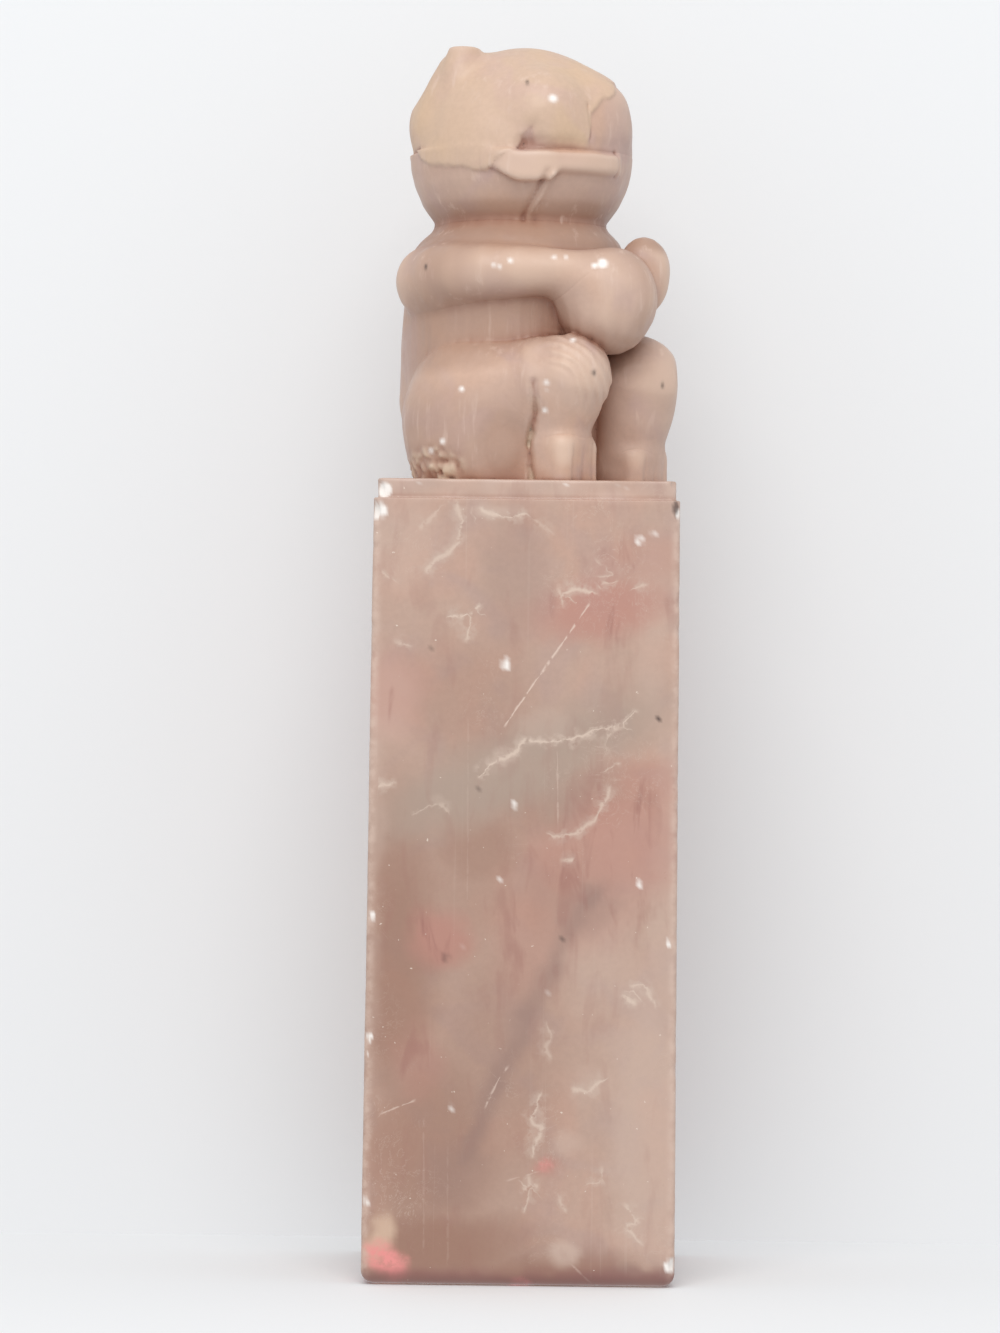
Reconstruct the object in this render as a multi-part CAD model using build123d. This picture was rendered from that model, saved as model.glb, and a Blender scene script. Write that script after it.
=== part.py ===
from build123d import *
import os
from math import cos, radians, sin, sqrt

# A hand-cut seal stamp of soft stone: a square block with a crouching animal on its top end.
# Both are carved from one square bar, so every form keeps within the bar's four faces.
# +Z runs up the bar, the stamping face is at z = 0, and the -Y side shows the animal's right
# arm and leg. All lengths are in millimetres.

# The bar that the whole seal is carved from
bar_width = 20.2
bar_skin = 0.05  # what the carver took off the bar's faces around the animal
foot_flare = 0.25  # how far the left and right faces lean out by the foot

# Block
block_height = 51.8
side_ease = 0.35
foot_ease = 0.9

# Stamping face: a flat rim round a cut-back ground, with a flower in relief
rim_width = 1.0
relief_depth = 0.8
ground_thickness = 0.6
pocket_corner = 0.6
corner_gap = 1.2  # between the tips of the corner leaves and the pocket's corners
petal_count = 8
boss_share = 0.15  # this and the next four are shares of the flower's reach
relief_gap_share = 0.06
petal_length_share = 0.35
petal_width_share = 0.23
corner_leaf_width_share = 0.26

# Plinth that the animal sits on
plinth_inset = 0.35
plinth_height = 1.3
plinth_ease = 0.2

# Animal: its body turns towards the bar's right front corner, and its head turns further
body_turn = 35.0
body_centre_x = -1.3
body_centre_y = 0.8
head_turn = 47.0
head_centre_x = -0.45
head_centre_y = 0.3

# Torso, as level ellipses from its seat to its neck, which leans over to the head's axis
torso_height = 17.6
torso_half_width = 7.8
torso_half_depth = 7.4
torso_level_shares = (0.0, 0.28, 0.6, 0.86, 1.0)
torso_width_shares = (0.84, 0.95, 0.95, 0.95, 0.76)
torso_depth_shares = (0.88, 0.98, 0.98, 0.97, 0.79)
torso_lean_shares = (0.0, 0.0, 0.1, 0.6, 1.0)

# Head: a ball with two cheeks above the mouth, and a jaw with a lip below it. The mouth and the
# lip reach further round the right side of the head than the left
head_radius = 7.6
mouth_height = 4.6
cheek_radius = 2.8
cheek_reach = 4.8
cheek_height = 7.1
cheek_spread = 25.0
mouth_turn = 15.5
mouth_sweep = 60.0
mouth_gape = 0.7
mouth_depth = 1.2
jaw_setback = 0.15
jaw_radius_shares = (0.76, 0.92, 1.0)
lip_turn = 23.5
lip_sweep = 76.0
lip_height = 1.8
lip_reach = 0.4
lip_root = 2.0

# Ears, high on the head's sides, with their tips worn away
ear_rise = 43.0
ear_backing = 9.0
ear_sink = 1.25  # how deep the middle of an ear lies under the head's skin
ear_half_width = 1.9
ear_half_depth = 1.5
ear_half_height = 3.4
right_ear_loss = 0.55
left_ear_loss = 1.0

# Round fruit that rests on the knees
fruit_forward = 8.9
fruit_side = 1.5
fruit_height = 12.0
fruit_radius = 3.4

# Arms: they bow out from the shoulder blades and come in to the hands over the fruit
shoulder_forward = -2.3
shoulder_side = 5.6
shoulder_drop = 4.2  # under the neck
shoulder_radius = 2.5
elbow_forward = 2.8
elbow_side = 6.7
elbow_drop = 3.7  # under the neck
elbow_radius = 1.9
wrist_ahead = 0.4  # of the fruit's middle
wrist_side = 2.7
wrist_sink = 0.8  # under the fruit's top
wrist_radius = 1.25

# Hands, closed over the fruit; the left one stands upright
hand_ahead = 0.6  # of the wrist
hand_drop = 0.5  # under the wrist
hand_side = 1.4
hand_half_length = 1.7
hand_half_width = 1.7
right_hand_half_height = 2.3
left_hand_half_height = 2.6

# Haunches, thighs, shins and feet
haunch_forward = 1.1
haunch_side = 5.1
haunch_height = 3.2
haunch_half_length = 5.5
haunch_half_width = 4.6
haunch_half_height = 6.8
hip_forward = 1.0
hip_side = 4.6
hip_height = 5.2
hip_radius = 4.2
thigh_forward = 6.0
thigh_height = 6.5
thigh_radius = 3.2
knee_forward = 7.7
knee_side = 4.1
knee_height = 6.9
knee_radius = 2.9
ankle_forward = 5.8
ankle_height = 1.7
ankle_radius = 2.4
foot_forward = 6.3
foot_half_length = 2.7
foot_half_width = 2.2
foot_height = 2.5
foot_corner = 1.2
foot_ease_top = 0.9
toe_gap_radius = 0.3
toe_pitch = 1.1
toe_gap_count = 3

# The left shin and foot stand further forward and nearer the middle, and the shin is thicker
left_leg_forward = 0.8
left_leg_inward = 1.1
left_leg_extra = 0.3

overrun = 1.0  # how far a cutting tool runs past what it cuts

plinth_top = block_height + plinth_height
neck_level = plinth_top + torso_height
SIDES = {"right": 1, "left": -1}


def turned_point(centre_x, centre_y, turn, forward, side, level):
    """A place forward of and to the right of an upright axis that faces `turn` degrees off +X."""
    return Vector(
        centre_x + forward * cos(radians(turn)) - side * sin(radians(turn)),
        centre_y - forward * sin(radians(turn)) - side * cos(radians(turn)),
        level,
    )


def body_point(forward, side, height):
    """A place on the animal's body, with the height above the plinth."""
    return turned_point(
        body_centre_x, body_centre_y, body_turn, forward, side, plinth_top + height
    )


def head_point(forward, side, height):
    """A place on the head, with the height above the neck."""
    return turned_point(
        head_centre_x, head_centre_y, head_turn, forward, side, neck_level + height
    )


def ellipsoid(centre, half_length, half_width, half_height, turn):
    """A smooth lump whose length points the way the animal faces."""
    lump = scale(Sphere(1), by=(half_length, half_width, half_height))
    return Pos(centre) * Rot(0, 0, -turn) * lump


def straight_limb(start, end, start_radius, end_radius):
    """A round limb with domed ends, which swells smoothly from one end to the other."""
    length = (end - start).length
    outline = (
        RadiusArc((0, -start_radius), (start_radius, 0), -start_radius)
        + Spline((start_radius, 0), (end_radius, length), tangents=((0, 1), (0, 1)))
        + RadiusArc((end_radius, length), (0, length + end_radius), -end_radius)
        + Line((0, length + end_radius), (0, -start_radius))
    )
    limb = revolve(Plane.XZ * make_face(outline), Axis.Z)
    return Plane(origin=start, z_dir=end - start) * limb


def bent_limb(points, radii):
    """A round limb through the points, with domed ends and a radius for each point."""
    path = Spline(*points)
    sections = []
    for index, radius in enumerate(radii):
        share = index / (len(radii) - 1)
        plane = Plane(origin=path @ share, z_dir=path % share)
        sections.append(plane * Circle(radius))
    ends = Pos(points[0]) * Sphere(radii[0]) + Pos(points[-1]) * Sphere(radii[-1])
    return loft(sections) + ends


def head_sector(outline, turn, sweep):
    """Turns an upright outline about the head's axis, over a sweep centred `turn` to the right."""
    sector = revolve(Plane.XZ * make_face(outline), Axis.Z, sweep)
    return Pos(head_point(0, 0, 0)) * Rot(0, 0, -head_turn - turn - sweep / 2) * sector


def carve(piece, *neighbours):
    """The piece with its neighbours' stone taken away, kept to its largest lump."""
    for neighbour in neighbours:
        piece = piece - neighbour
    return max(piece.solids(), key=lambda lump: lump.volume)


def make_bar_top():
    """The square bar above the plinth, which bounds everything on the animal."""
    width = bar_width - 2 * bar_skin
    bar = extrude(Rectangle(width, width), torso_height + mouth_height + head_radius + overrun)
    return Pos(0, 0, plinth_top) * bar


def make_seal_block():
    """The long block, whose left and right faces lean out towards its foot."""
    top = bar_width / 2
    foot = top + foot_flare
    front = Polyline(
        (-foot, 0), (foot, 0), (top, block_height), (-top, block_height), close=True
    )
    block = extrude(Pos(0, top, 0) * (Plane.XZ * make_face(front)), bar_width)
    block = chamfer(block.edges().group_by(SortBy.LENGTH)[-1], side_ease)
    # an upright block of the foot's size carries the rounding of the foot
    rounded = extrude(Rectangle(2 * foot, bar_width), block_height)
    rounded = fillet(rounded.edges().group_by(Axis.Z)[0], foot_ease)
    block = block & rounded
    pocket = extrude(pocket_outline(), relief_depth + ground_thickness)
    return block - pocket


def pocket_outline():
    """The outline of the pocket that the rim leaves in the stamping face."""
    width = pocket_width()
    return RectangleRounded(width, width, pocket_corner)


def pocket_width():
    return bar_width - 2 * (foot_ease + rim_width)


def leaf(inner, length, width):
    """A pointed leaf along +X, between two equal arcs."""
    middle = inner + length / 2
    upper = ThreePointArc((inner, 0), (middle, width / 2), (inner + length, 0))
    lower = ThreePointArc((inner + length, 0), (middle, -width / 2), (inner, 0))
    return make_face(upper + lower)


def make_stamping_face():
    """The ground inside the rim, with a boss, a ring of petals and a leaf to each corner in relief."""
    face = Pos(0, 0, relief_depth) * extrude(pocket_outline(), ground_thickness)
    # the flower reaches along the pocket's diagonal, short of its rounded corners
    rounding = pocket_corner * (sqrt(2) - 1)
    reach = pocket_width() / sqrt(2) - rounding - corner_gap
    gap = relief_gap_share * reach
    boss_radius = boss_share * reach
    petal_length = petal_length_share * reach
    petal = leaf(boss_radius + gap, petal_length, petal_width_share * reach)
    corner_start = boss_radius + gap + petal_length + gap
    corner_leaf = leaf(corner_start, reach - corner_start, corner_leaf_width_share * reach)
    shapes = [Circle(boss_radius)]
    for index in range(petal_count):
        shapes.append(Rot(0, 0, (index + 1 / 2) * 360 / petal_count) * petal)
    for index in range(4):
        shapes.append(Rot(0, 0, 45 + index * 90) * corner_leaf)
    for shape in shapes:
        face = face + extrude(shape, relief_depth)
    return face


def make_plinth():
    width = bar_width - 2 * plinth_inset
    plinth = Pos(0, 0, block_height) * extrude(Rectangle(width, width), plinth_height)
    plinth = chamfer(plinth.edges().filter_by(Axis.Z), side_ease)
    return fillet(plinth.edges().group_by(Axis.Z)[-1], plinth_ease)


def make_torso():
    facing = (cos(radians(body_turn)), -sin(radians(body_turn)), 0)
    seat = body_point(0, 0, 0)
    neck = head_point(0, 0, 0)
    sections = []
    for level, wide, deep, lean in zip(
        torso_level_shares, torso_width_shares, torso_depth_shares, torso_lean_shares
    ):
        centre = Vector(
            seat.X + lean * (neck.X - seat.X),
            seat.Y + lean * (neck.Y - seat.Y),
            seat.Z + level * torso_height,
        )
        plane = Plane(origin=centre, x_dir=facing, z_dir=(0, 0, 1))
        outline = Ellipse(deep * torso_half_depth, wide * torso_half_width)
        sections.append(plane * outline)
    return loft(sections)


def make_jaw():
    """The lower head, from the neck to the mouth, with the lower lip proud of it."""
    radius = head_radius - jaw_setback
    neck, middle, mouth = (share * radius for share in jaw_radius_shares)
    outline = (
        Spline((neck, 0), (middle, mouth_height / 2), (mouth, mouth_height), tangents=((1, 1), (0, 1)))
        + Line((mouth, mouth_height), (0, mouth_height))
        + Line((0, mouth_height), (0, 0))
        + Line((0, 0), (neck, 0))
    )
    jaw = Pos(head_point(0, 0, 0)) * revolve(Plane.XZ * make_face(outline), Axis.Z)
    lip_front = radius + lip_reach
    lip_foot = mouth_height - lip_height
    lip_outline = (
        ThreePointArc(
            (radius, mouth_height),
            (lip_front, mouth_height - lip_height / 2),
            (radius, lip_foot),
        )
        + Line((radius, lip_foot), (radius - lip_root, lip_foot))
        + Line((radius - lip_root, lip_foot), (radius - lip_root, mouth_height))
        + Line((radius - lip_root, mouth_height), (radius, mouth_height))
    )
    return jaw + head_sector(lip_outline, lip_turn, lip_sweep)


def space_above(height):
    """All the space above a height on the head."""
    slab = extrude(Rectangle(2 * bar_width, 2 * bar_width), bar_width)
    return Pos(head_point(0, 0, height)) * slab


def head_ball(forward, side, height, radius):
    """A ball on the head, with its seam turned to the back."""
    return Pos(head_point(forward, side, height)) * Rot(0, 0, 180 - head_turn) * Sphere(radius)


def make_head():
    """The upper head, a ball from the mouth up, with two cheeks and the roof of the open mouth."""
    head = head_ball(0, 0, mouth_height, head_radius)
    for side in SIDES.values():
        forward = cheek_reach * cos(radians(cheek_spread))
        aside = side * cheek_reach * sin(radians(cheek_spread))
        head = head + head_ball(forward, aside, cheek_height, cheek_radius)
    return (head & space_above(mouth_height)) - make_mouth()


def make_mouth():
    """The wedge of air between the lips, deepest at the lower lip's top."""
    back = head_radius - mouth_depth
    front = head_radius + overrun
    outline = (
        Line((back, mouth_height), (front, mouth_height - overrun))
        + Line((front, mouth_height - overrun), (front, mouth_height + mouth_gape))
        + Line((front, mouth_height + mouth_gape), (back, mouth_height))
    )
    return head_sector(outline, mouth_turn, mouth_sweep)


def make_ear(side, loss):
    """One ear on the head's ball, cut level where its tip is gone."""
    reach = head_radius - ear_sink
    out = reach * cos(radians(ear_rise))
    level = mouth_height + reach * sin(radians(ear_rise))
    back = out * sin(radians(ear_backing))
    aside = side * out * cos(radians(ear_backing))
    ear = ellipsoid(
        head_point(-back, aside, level), ear_half_depth, ear_half_width, ear_half_height, head_turn
    )
    return ear - space_above(level + ear_half_height - loss)


def wrist_point(side):
    return body_point(
        fruit_forward + wrist_ahead, side * wrist_side, fruit_height + fruit_radius - wrist_sink
    )


def make_arm(side):
    shoulder = body_point(shoulder_forward, side * shoulder_side, torso_height - shoulder_drop)
    elbow = body_point(elbow_forward, side * elbow_side, torso_height - elbow_drop)
    return bent_limb(
        (shoulder, elbow, wrist_point(side)), (shoulder_radius, elbow_radius, wrist_radius)
    )


def make_hand(side, half_height):
    forward = fruit_forward + wrist_ahead + hand_ahead
    height = fruit_height + fruit_radius - wrist_sink - hand_drop
    centre = body_point(forward, side * hand_side, height)
    return ellipsoid(centre, hand_half_length, hand_half_width, half_height, body_turn)


def make_held_fruit():
    return Pos(body_point(fruit_forward, fruit_side, fruit_height)) * Sphere(fruit_radius)


def make_haunch(side):
    centre = body_point(haunch_forward, side * haunch_side, haunch_height)
    return ellipsoid(
        centre, haunch_half_length, haunch_half_width, haunch_half_height, body_turn
    )


def make_thigh(side):
    hip = body_point(hip_forward, side * hip_side, hip_height)
    end = body_point(thigh_forward, side * hip_side, thigh_height)
    return straight_limb(hip, end, hip_radius, thigh_radius)


def leg_stand(side):
    """How much further forward, nearer the middle and thicker a lower leg is than the right one."""
    if side == SIDES["right"]:
        return 0, 0, 0
    return left_leg_forward, left_leg_inward, left_leg_extra


def make_shin(side):
    forward, inward, extra = leg_stand(side)
    ankle = body_point(ankle_forward + forward, side * (knee_side - inward), ankle_height)
    knee = body_point(knee_forward + forward, side * (knee_side - inward), knee_height)
    return straight_limb(ankle, knee, ankle_radius + extra, knee_radius + extra)


def make_foot(side):
    """A rounded block with grooves between its toes."""
    sole = RectangleRounded(2 * foot_half_length, 2 * foot_half_width, foot_corner)
    foot = extrude(sole, foot_height)
    foot = fillet(foot.edges().group_by(Axis.Z)[-1], foot_ease_top)
    for index in range(toe_gap_count):
        offset = (index - (toe_gap_count - 1) / 2) * toe_pitch
        groove = Cylinder(toe_gap_radius, 2 * foot_height)
        foot = foot - Pos(foot_half_length, offset, 0) * groove
    forward, inward, extra = leg_stand(side)
    centre = body_point(foot_forward + forward, side * (knee_side - inward), 0)
    return Pos(centre) * Rot(0, 0, -body_turn) * foot


def make_parts():
    """Every piece, each cut back to its neighbours' faces so that they meet along the creases."""
    bar_top = make_bar_top()
    torso = make_torso()
    jaw = make_jaw()
    head = carve(make_head(), jaw)
    parts = {
        "seal_block": make_seal_block(),
        "stamping_face": make_stamping_face(),
        "plinth": make_plinth(),
        "torso": torso,
        "jaw": jaw,
        "head": head,
        "right_ear": carve(make_ear(SIDES["right"], right_ear_loss), head),
        "left_ear": carve(make_ear(SIDES["left"], left_ear_loss), head),
    }
    legs = []
    for name, side in SIDES.items():
        foot = carve(make_foot(side) & bar_top, torso)
        shin = carve(make_shin(side) & bar_top, torso, foot)
        thigh = carve(make_thigh(side) & bar_top, torso, shin, foot)
        haunch = carve(make_haunch(side) & bar_top, torso, thigh, shin, foot)
        parts[name + "_haunch"] = haunch
        parts[name + "_thigh"] = thigh
        parts[name + "_shin"] = shin
        parts[name + "_foot"] = foot
        legs += [haunch, thigh, shin]
    fruit = carve(make_held_fruit() & bar_top, torso, *legs)
    parts["held_fruit"] = fruit
    half_heights = {"right": right_hand_half_height, "left": left_hand_half_height}
    hands = []
    for name, side in SIDES.items():
        arm = carve(make_arm(side) & bar_top, torso, fruit, *hands)
        hand = carve(make_hand(side, half_heights[name]) & bar_top, torso, fruit, arm, *hands)
        parts[name + "_arm"] = arm
        parts[name + "_hand"] = hand
        hands.append(hand)
    return parts


os.makedirs("parts", exist_ok=True)
for node, shape in make_parts().items():
    export_step(shape, "parts/" + node + ".step")
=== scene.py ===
import math

import bpy
import numpy as np
from mathutils import Matrix, Vector


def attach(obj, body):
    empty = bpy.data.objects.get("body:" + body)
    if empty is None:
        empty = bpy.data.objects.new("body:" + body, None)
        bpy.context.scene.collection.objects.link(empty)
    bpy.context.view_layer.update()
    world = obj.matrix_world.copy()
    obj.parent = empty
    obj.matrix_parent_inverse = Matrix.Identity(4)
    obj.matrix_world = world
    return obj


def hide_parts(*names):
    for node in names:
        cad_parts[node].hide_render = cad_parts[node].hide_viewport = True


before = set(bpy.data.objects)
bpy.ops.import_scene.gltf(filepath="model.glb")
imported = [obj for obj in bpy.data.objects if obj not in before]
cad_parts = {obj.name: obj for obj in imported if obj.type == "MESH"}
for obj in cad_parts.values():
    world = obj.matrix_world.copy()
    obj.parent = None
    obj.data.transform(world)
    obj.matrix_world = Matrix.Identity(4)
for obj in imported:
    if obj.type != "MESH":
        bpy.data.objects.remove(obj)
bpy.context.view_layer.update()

# A hand-cut seal stamp of soft stone. Shapes are worked out in millimetres, and every
# piece is written in metres.
MM = 0.001

# Bar, block and plinth
BAR_HALF = 10.1
FIGURE_HALF = 10.05
BLOCK_TOP = 51.8
PLINTH_TOP = 53.1
FOOT_FLARE = 0.25
FOOT_EASE = 0.9
EDGE_EASE = 0.35
RIM_WIDTH = 1.0
FACE_DEPTH = 1.4
PLINTH_INSET = 0.35

# Where the animal's body and head stand and face, in degrees off the +X side
BODY_CENTRE = (-1.3, 0.8)
BODY_TURN = 35.0
HEAD_CENTRE = (-0.45, 0.3)
HEAD_TURN = 47.0
NECK = 70.7
SEAT = 52.9  # the level that heights on the body are counted from
TORSO_HEIGHT = 17.8
MOUTH = 4.6

SIDES = {"right": 1, "left": -1}

# The sculpting grid, in millimetres
GRAIN = 0.15  # spacing of its points
GRID_REACH = 10.2  # how far it goes to each side
GRID_TOP = 83.2
HAND_REACH = 0.9  # how far from the skin the hand work is worked out
SEAM_RISE = 1.6  # how fast a piece's skin leaves the common skin beyond its own form
CREASE_REACH, CREASE_DEPTH = 0.45, 0.16  # of the cube that finds creases, and a full crease in it
HOLLOW_REACH, HOLLOW_DEPTH = 1.5, 0.5  # the same for broad hollows

# Stage and camera
PAPER_BACK = 19.0
FLOOR_LEVEL = -0.05
STAGE_REACH = 600
PAPER_TOP = 700
PAPER_TINT = (0.86, 0.87, 0.875, 1)
SKY_TINT, SKY_STRENGTH = (0.95, 0.97, 1.0, 1), 0.76
CAMERA_PLACE = (-1.64, -350.1, 40.76)
CAMERA_LENS = 139.56
LEAN = math.radians(0.7)


# Noise

def lattice(seed, size=32):
    """Random heights from -1 to 1 at the crossings of a grid."""
    return np.random.default_rng(seed).random((size, size, size), dtype=np.float32) * 2 - 1


def mottle(places, spacing, seed):
    """Smooth random heights from -1 to 1 at places (n, 3), with one bump in each spacing."""
    table = lattice(seed)
    size = table.shape[0]
    scaled = places / np.asarray(spacing, np.float32)
    cell = np.floor(scaled).astype(np.int64)
    share = (scaled - cell).astype(np.float32)
    share = share * share * (3 - 2 * share)
    total = np.zeros(len(places), np.float32)
    for dx in (0, 1):
        wx = share[:, 0] if dx else 1 - share[:, 0]
        for dy in (0, 1):
            wy = share[:, 1] if dy else 1 - share[:, 1]
            for dz in (0, 1):
                wz = share[:, 2] if dz else 1 - share[:, 2]
                corner = table[
                    (cell[:, 0] + dx) % size, (cell[:, 1] + dy) % size, (cell[:, 2] + dz) % size
                ]
                total += wx * wy * wz * corner
    return total


# Forms, each a distance to its skin: below zero inside the stone

def join(a, b, soft):
    """Two forms run together over a soft width."""
    near = np.maximum(soft - np.abs(a - b), 0) / soft
    return np.minimum(a, b) - near * near * soft / 4


def trim(a, b, soft):
    """What two forms share, with an eased edge."""
    return -join(-a, -b, soft)


def ramp(value, start, end):
    share = np.clip((value - start) / (end - start), 0, 1)
    return share * share * (3 - 2 * share)


def lump(f, r, h, centre, half):
    """An egg-shaped form from its centre and half sizes; the distance is right near its skin."""
    a, b, c = (f - centre[0]) / half[0], (r - centre[1]) / half[1], (h - centre[2]) / half[2]
    reach = np.sqrt(a * a + b * b + c * c)
    slope = np.sqrt((a / half[0]) ** 2 + (b / half[1]) ** 2 + (c / half[2]) ** 2)
    return reach * (reach - 1) / np.maximum(slope, 1e-4)


def ball(f, r, h, centre, radius):
    return np.sqrt((f - centre[0]) ** 2 + (r - centre[1]) ** 2 + (h - centre[2]) ** 2) - radius


def limb(f, r, h, start, end, start_radius, end_radius):
    """A tapered round limb with domed ends."""
    run = [end[i] - start[i] for i in range(3)]
    square = sum(step * step for step in run)
    share = (f - start[0]) * run[0] + (r - start[1]) * run[1] + (h - start[2]) * run[2]
    share = np.clip(share / square, 0, 1)
    gap = np.sqrt(
        (f - start[0] - share * run[0]) ** 2
        + (r - start[1] - share * run[1]) ** 2
        + (h - start[2] - share * run[2]) ** 2
    )
    return gap - (start_radius + (end_radius - start_radius) * share)


def bent_limb(f, r, h, points, radii, pieces=6):
    """A round limb that curves through three points."""
    ends = []
    for index in range(pieces + 1):
        t = index / pieces
        weights = ((1 - t) * (1 - 2 * t), 4 * t * (1 - t), t * (2 * t - 1))
        place = [sum(w * p[i] for w, p in zip(weights, points)) for i in range(3)]
        radius = np.interp(t, (0, 0.5, 1), radii)
        ends.append((place, radius))
    form = None
    for (start, start_radius), (end, end_radius) in zip(ends, ends[1:]):
        run = limb(f, r, h, start, end, start_radius, end_radius)
        form = run if form is None else np.minimum(form, run)
    return form


def turned(x, y, centre, turn):
    """Places as lengths forward of, and to the right of, a centre that faces `turn`."""
    c, s = math.cos(math.radians(turn)), math.sin(math.radians(turn))
    return (x - centre[0]) * c - (y - centre[1]) * s, -(x - centre[0]) * s - (y - centre[1]) * c


# Animal

TORSO_HALF_WIDTH, TORSO_HALF_DEPTH = 7.8, 7.4
TORSO_LEVELS = (-0.05, 0.0, 0.28, 0.6, 0.82, 0.91, 0.985, 1.05)
TORSO_WIDTHS = (0.83, 0.85, 0.95, 0.95, 0.96, 0.93, 0.74, 0.5)
TORSO_DEPTHS = (0.87, 0.88, 0.98, 0.98, 0.98, 0.95, 0.77, 0.52)
TORSO_LEANS = (0.0, 0.0, 0.0, 0.1, 0.5, 0.8, 1.0, 1.0)


def even_curve(value, places, heights):
    """A smooth line through a few heights."""
    fine = np.linspace(places[0], places[-1], 200)
    line = np.interp(fine, places, heights)
    width = 6
    padded = np.pad(line, width, mode="edge")
    line = np.convolve(padded, np.ones(2 * width + 1) / (2 * width + 1), mode="valid")
    return np.interp(value, fine, line)


def torso_form(x, y, z):
    level = (z - SEAT) / TORSO_HEIGHT
    lean = even_curve(level, TORSO_LEVELS, TORSO_LEANS)
    wide = TORSO_HALF_WIDTH * even_curve(level, TORSO_LEVELS, TORSO_WIDTHS)
    deep = TORSO_HALF_DEPTH * even_curve(level, TORSO_LEVELS, TORSO_DEPTHS)
    centre = [b + lean * (n - b) for b, n in zip(BODY_CENTRE, HEAD_CENTRE)]
    f, r = turned(x, y, centre, BODY_TURN)
    around = (np.sqrt((f / deep) ** 2 + (r / wide) ** 2) - 1) * np.minimum(wide, deep)
    return np.maximum(around, z - NECK - 0.8)


HEAD_HALVES = (7.38, 7.38, 7.2)
CHEEKS = ((30, 0.4), (-22, 0.25))  # turn from the face, and how proud it stands
CHEEK_OUT, CHEEK_LEVEL, CHEEK_RADIUS = 4.6, 7.0, 2.7
# the jaw's round outline, from the neck up to the mouth
JAW_LEVELS = (-1.2, 0.0, 1.2, 2.4, 3.6, 4.6, 6.0)
JAW_RADII = (4.9, 5.6, 6.5, 7.05, 7.32, 7.4, 7.4)
LIP_OUT, LIP_FOOT = 7.4, 3.1


def head_forms(x, y, z):
    """The head's skin, its upper part and jaw, and the two ears."""
    f, r = turned(x, y, HEAD_CENTRE, HEAD_TURN)
    h = z - NECK
    out = np.sqrt(f * f + r * r)
    turn = np.degrees(np.arctan2(r, f))
    upper = lump(f, r, h, (0, 0, MOUTH), HEAD_HALVES)
    for aside, proud in CHEEKS:
        reach, way = CHEEK_OUT + proud, math.radians(aside)
        cheek = (reach * math.cos(way), reach * math.sin(way), CHEEK_LEVEL)
        upper = join(upper, ball(f, r, h, cheek, CHEEK_RADIUS), 1.2)
    # the side of the head swells up into the right ear
    root = limb(f, r, h, (-1.7, 4.3, 9.9), (-3.4, 4.5, 6.9), 1.5, 2.0)
    upper = join(upper, root, 1.5)
    # the jaw is fuller on the right side, behind the lip
    fuller = 0.3 * ramp(turn, 85, 120) * ramp(turn, 178, 145)
    jaw = (out - even_curve(h, JAW_LEVELS, JAW_RADII) - fuller) * 0.92
    lip_end = ramp(turn, 66, 50) * ramp(turn, -18.5, -12)
    lip_out = LIP_OUT + (0.32 + 0.16 * ramp(turn, 20, 34)) * lip_end
    lip_foot = LIP_FOOT - 0.75 * ramp(turn, 22, 33) + 0.9 * ramp(turn, 44, 62)
    lip = trim(np.maximum(lip_foot - h, h - MOUTH), (out - lip_out) * 0.97, 0.45)
    jaw = join(jaw, np.where(lip_end > 0, lip, 9), 0.15 + 0.5 * ramp(turn, 30, 20))
    jaw = jaw + 0.25 * lip_end * ramp(h, MOUTH - 0.5, MOUTH)
    skin = join(np.maximum(upper, MOUTH - 2 - h), np.maximum(jaw, h - MOUTH), 0.1)
    skin = np.maximum(skin, -1.4 - h)
    upper = np.maximum(upper, MOUTH - h)
    jaw = np.maximum(jaw, h - MOUTH)
    ears = {
        "right": trim(lump(f, r, h, (-0.9, 4.75, 8.9), (1.1, 1.35, 3.6)), h - 11.5, 0.2),
        "left": trim(lump(f, r, h, (-0.7, -4.6, 8.6), (1.4, 1.8, 3.0)), h - 11.3, 0.3),
    }
    return skin, upper, jaw, ears


KNEES = {"right": (7.7, 4.1), "left": (8.3, -2.9)}
SHIN_RADII = {"right": (2.1, 2.9), "left": (2.6, 3.25)}
FOOT_TOPS = {"right": 3.0, "left": 2.35}
ANKLES = {"right": (5.8, 4.1), "left": (6.9, -3.2)}
FEET = {"right": (6.3, 4.1), "left": (7.2, -3.1)}


def leg_forms(f, r, h, name):
    """One side's haunch, thigh, shin and foot, with the toes cut into the foot."""
    side = SIDES[name]
    haunch = lump(f, r, h, (1.1, side * 5.1, 3.5), (5.5, 4.6, 6.7))
    thigh = limb(f, r, h, (1.0, side * 4.6, 5.4), (6.0, side * 4.4, 6.7), 4.2, 3.2)
    ankle, knee, foot_centre = ANKLES[name], KNEES[name], FEET[name]
    low_radius, high_radius = SHIN_RADII[name]
    shin = limb(f, r, h, (*ankle, 1.8), (*knee, 7.1), low_radius, high_radius)
    a, b = np.abs(f - foot_centre[0]) - 1.8, np.abs(r - foot_centre[1]) - 1.3
    flat = np.sqrt(np.maximum(a, 0) ** 2 + np.maximum(b, 0) ** 2) + np.minimum(np.maximum(a, b), 0)
    top = FOOT_TOPS[name]
    foot = trim(flat - 0.9, h - top, 0.7)
    toes = foot_centre[0] + 2.75
    for offset in (-1.15, 0.0, 1.15):
        middle = foot_centre[1] + offset
        bend, end = (toes, middle, top - 0.4), (toes - 1.2, middle, top + 0.15)
        front = limb(f, r, h, (toes, middle, -1), bend, 0.1, 0.07)
        back = limb(f, r, h, bend, end, 0.07, 0.08)
        foot = trim(foot, -np.minimum(front, back), 0.25)
    return haunch, thigh, shin, foot


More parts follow.
